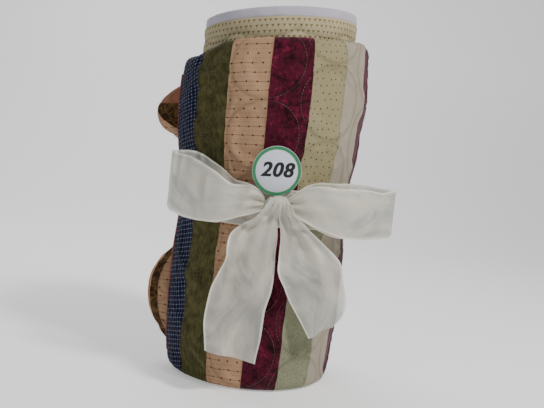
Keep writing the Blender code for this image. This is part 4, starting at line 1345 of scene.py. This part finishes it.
def build_tag():
    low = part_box("tag_disc")[0]
    foot = FRONT_Y - TAG_FOOT_OUT
    top = low[1] + TAG_THICK / 2
    lean = math.asin((foot - top) / (2 * TAG_RADIUS))
    middle = Vector((TAG_X, (foot + top) / 2, BAND_MID + TAG_UP + TAG_RADIUS * math.cos(lean)))

    def at(r, a, out):
        u, v = r * np.sin(a), r * np.cos(a)
        x = np.broadcast_to(middle.x + u, np.broadcast(u, out).shape)
        return np.stack([
            x, middle.y - v * math.sin(lean) - out * math.cos(lean),
            middle.z + v * math.cos(lean) - out * math.sin(lean),
        ], -1)

    turn = np.linspace(0, 2 * math.pi, 160, endpoint=False)[:, None]
    t = TAG_THICK / 2
    disc = np.array([(0.0002, -t), (TAG_RADIUS - 0.0003, -t), (TAG_RADIUS, -t * 0.6), (TAG_RADIUS, t * 0.6),
                     (TAG_RADIUS - 0.0003, t), (0.0002, t)])
    inner, lift = TAG_RADIUS - TAG_RING, t + 0.00005
    ring = np.array([(inner, lift), (inner + 0.0001, lift + 0.00022), (TAG_RADIUS - 0.0005, lift + 0.00022),
                     (TAG_RADIUS - 0.0004, lift)])
    white, green = card("tag_card", rgb("ccd0da"), 0.42), card("tag_print", rgb("2f7d52"), 0.45)
    ink = card("tag_ink", rgb("15161c"), 0.55)
    for name, rows, material, node in (
        ("tag_face", disc, white, "tag_disc"), ("tag_green_ring", ring, green, "tag_ring")
    ):
        points = at(rows[None, :, 0], turn, np.broadcast_to(rows[None, :, 1], (160, len(rows))))
        uv = together(turn * 0.03, rows[None, :, 0])
        piece = grid_piece(name, points, uv, material, ring=True)
        piece.data.shade_flat() if name == "tag_green_ring" else piece.data.shade_smooth()
        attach(piece, "tag")
        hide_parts(node)
    curve = bpy.data.curves.new("tag_number", "FONT")
    curve.body = "208"
    curve.size = 0.0250
    curve.align_x, curve.align_y = "CENTER", "CENTER"
    curve.shear = 0.22
    curve.offset = 0.00055
    curve.space_character = 1.10
    curve.extrude = 0.00006
    text = bpy.data.objects.new("tag_number_curve", curve)
    bpy.context.scene.collection.objects.link(text)
    bpy.context.view_layer.update()
    thin = bpy.data.meshes.new_from_object(text.evaluated_get(bpy.context.evaluated_depsgraph_get()))
    bpy.data.objects.remove(text, do_unlink=True)
    corners, faces = [], []
    for shift, rise in ((-0.0005, 0.0), (0.0, 0.00001), (0.0005, 0.00002)):
        first = len(corners)
        faces += [[v + first for v in face.vertices] for face in thin.polygons]
        corners += [(v.co.x + shift, v.co.y, v.co.z + rise) for v in thin.vertices]
    mesh = bpy.data.meshes.new("tag_number")
    mesh.from_pydata(corners, [], faces)
    mesh.materials.append(ink)
    right, up = Vector((1, 0, 0)), Vector((0, -math.sin(lean), math.cos(lean)))
    turned = math.radians(2.5)
    x_axis = right * math.cos(turned) + up * math.sin(turned)
    y_axis = up * math.cos(turned) - right * math.sin(turned)
    z_axis = x_axis.cross(y_axis)
    frame_at = Matrix((x_axis, y_axis, z_axis)).transposed().to_4x4()
    frame_at.translation = middle + z_axis * (t + 0.0001) + up * 0.0008
    mesh.transform(frame_at)
    number = add(mesh)
    number.name = "tag_number"
    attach(number, "tag")


# ---- stage, lights and camera -----------------------------------------------------------------------------
def build_stage():
    bend = [(1.5 + 0.9 * math.sin(t), 0.9 - 0.9 * math.cos(t)) for t in np.linspace(0, math.pi / 2, 25)]
    outline = [(-4.0, 0.0)] + bend + [(2.4, 4.0)]
    points = [(x, y, z) for y, z in outline for x in (-5.0, 5.0)]
    faces = [(2 * k, 2 * k + 1, 2 * k + 3, 2 * k + 2) for k in range(len(outline) - 1)]
    mesh = bpy.data.meshes.new("floor")
    mesh.from_pydata(points, [], faces)
    mesh.shade_smooth()
    floor = add(mesh)
    material = bpy.data.materials.new("floor")
    material.use_nodes = True
    shader = material.node_tree.nodes["Principled BSDF"]
    shader.inputs["Base Color"].default_value = (0.80, 0.80, 0.81, 1)
    shader.inputs["Emission Color"].default_value = (1, 1, 1, 1)
    shader.inputs["Emission Strength"].default_value = 0.34
    shader.inputs["Roughness"].default_value = 0.9
    mesh.materials.append(material)
    world = bpy.data.worlds.new("studio")
    world.use_nodes = True
    background = world.node_tree.nodes["Background"]
    background.inputs[0].default_value = (0.96, 0.97, 1.0, 1)
    background.inputs[1].default_value = 0.17
    bpy.context.scene.world = world

    def lamp(name, place_at, target, size, power, colour):
        light = bpy.data.lights.new(name, "AREA")
        light.size, light.energy, light.color = size, power, colour
        obj = bpy.data.objects.new(name, light)
        obj.location = place_at
        obj.rotation_euler = (Vector(target) - Vector(place_at)).to_track_quat("-Z", "Y").to_euler()
        bpy.context.scene.collection.objects.link(obj)

    lamp("key", (0.95, -1.20, 1.85), (0, 0, 0.26), 0.32, 48, (1.0, 0.97, 0.93))
    lamp("fill", (-1.5, -1.3, 0.8), (0, 0, 0.25), 1.0, 5, (0.93, 0.96, 1.0))
    lamp("back", (-0.5, 1.2, 1.7), (0, 0.8, 0.2), 1.4, 20, (1.0, 1.0, 1.0))

    azimuth, elevation, lean = math.radians(-9.683), math.radians(3.0), math.radians(-5.887)
    target, distance = Vector((0.014 * math.cos(azimuth), 0.014 * math.sin(azimuth), 0.237)), 0.962
    level = math.cos(elevation)
    back = Vector((math.sin(azimuth) * level, -math.cos(azimuth) * level, math.sin(elevation)))
    right = Vector((math.cos(azimuth), math.sin(azimuth), 0))
    up = back.cross(right)
    turned_right = right * math.cos(lean) - up * math.sin(lean)
    turned_up = right * math.sin(lean) + up * math.cos(lean)
    camera = bpy.data.objects.new("camera", bpy.data.cameras.new("camera"))
    camera.data.lens, camera.data.sensor_width = 44.6, 36.0
    pose = Matrix((turned_right, turned_up, back)).transposed().to_4x4()
    pose.translation = target + back * distance
    camera.matrix_world = pose
    bpy.context.scene.collection.objects.link(camera)
    bpy.context.scene.camera = camera


build_stage()
leaf_shell("leaf_outer_turn", FREE_END + 0.6, FREE_END + 359.8, ["backing_leaf"])
leaf_shell("leaf_inner_turns", FREE_END + 360.2, LAST, ["inner_turns"])
build_leaf_binding()
build_lining()
build_inner_fold()
build_patchwork()
build_threads()
build_free_end()
build_band()
build_knot()
build_loop("bow_loop_left", "bow_left", LOOP_LEFT, "loop_left", 5)
build_loop("bow_loop_right", "bow_right", LOOP_RIGHT, "loop_right", 8)
build_tail("ribbon_tail_left", "tail_left_cloth", TAIL_LEFT, 3, -0.002)
build_tail("ribbon_tail_right", "tail_right_cloth", TAIL_RIGHT, 6, 0.002)
build_tag()
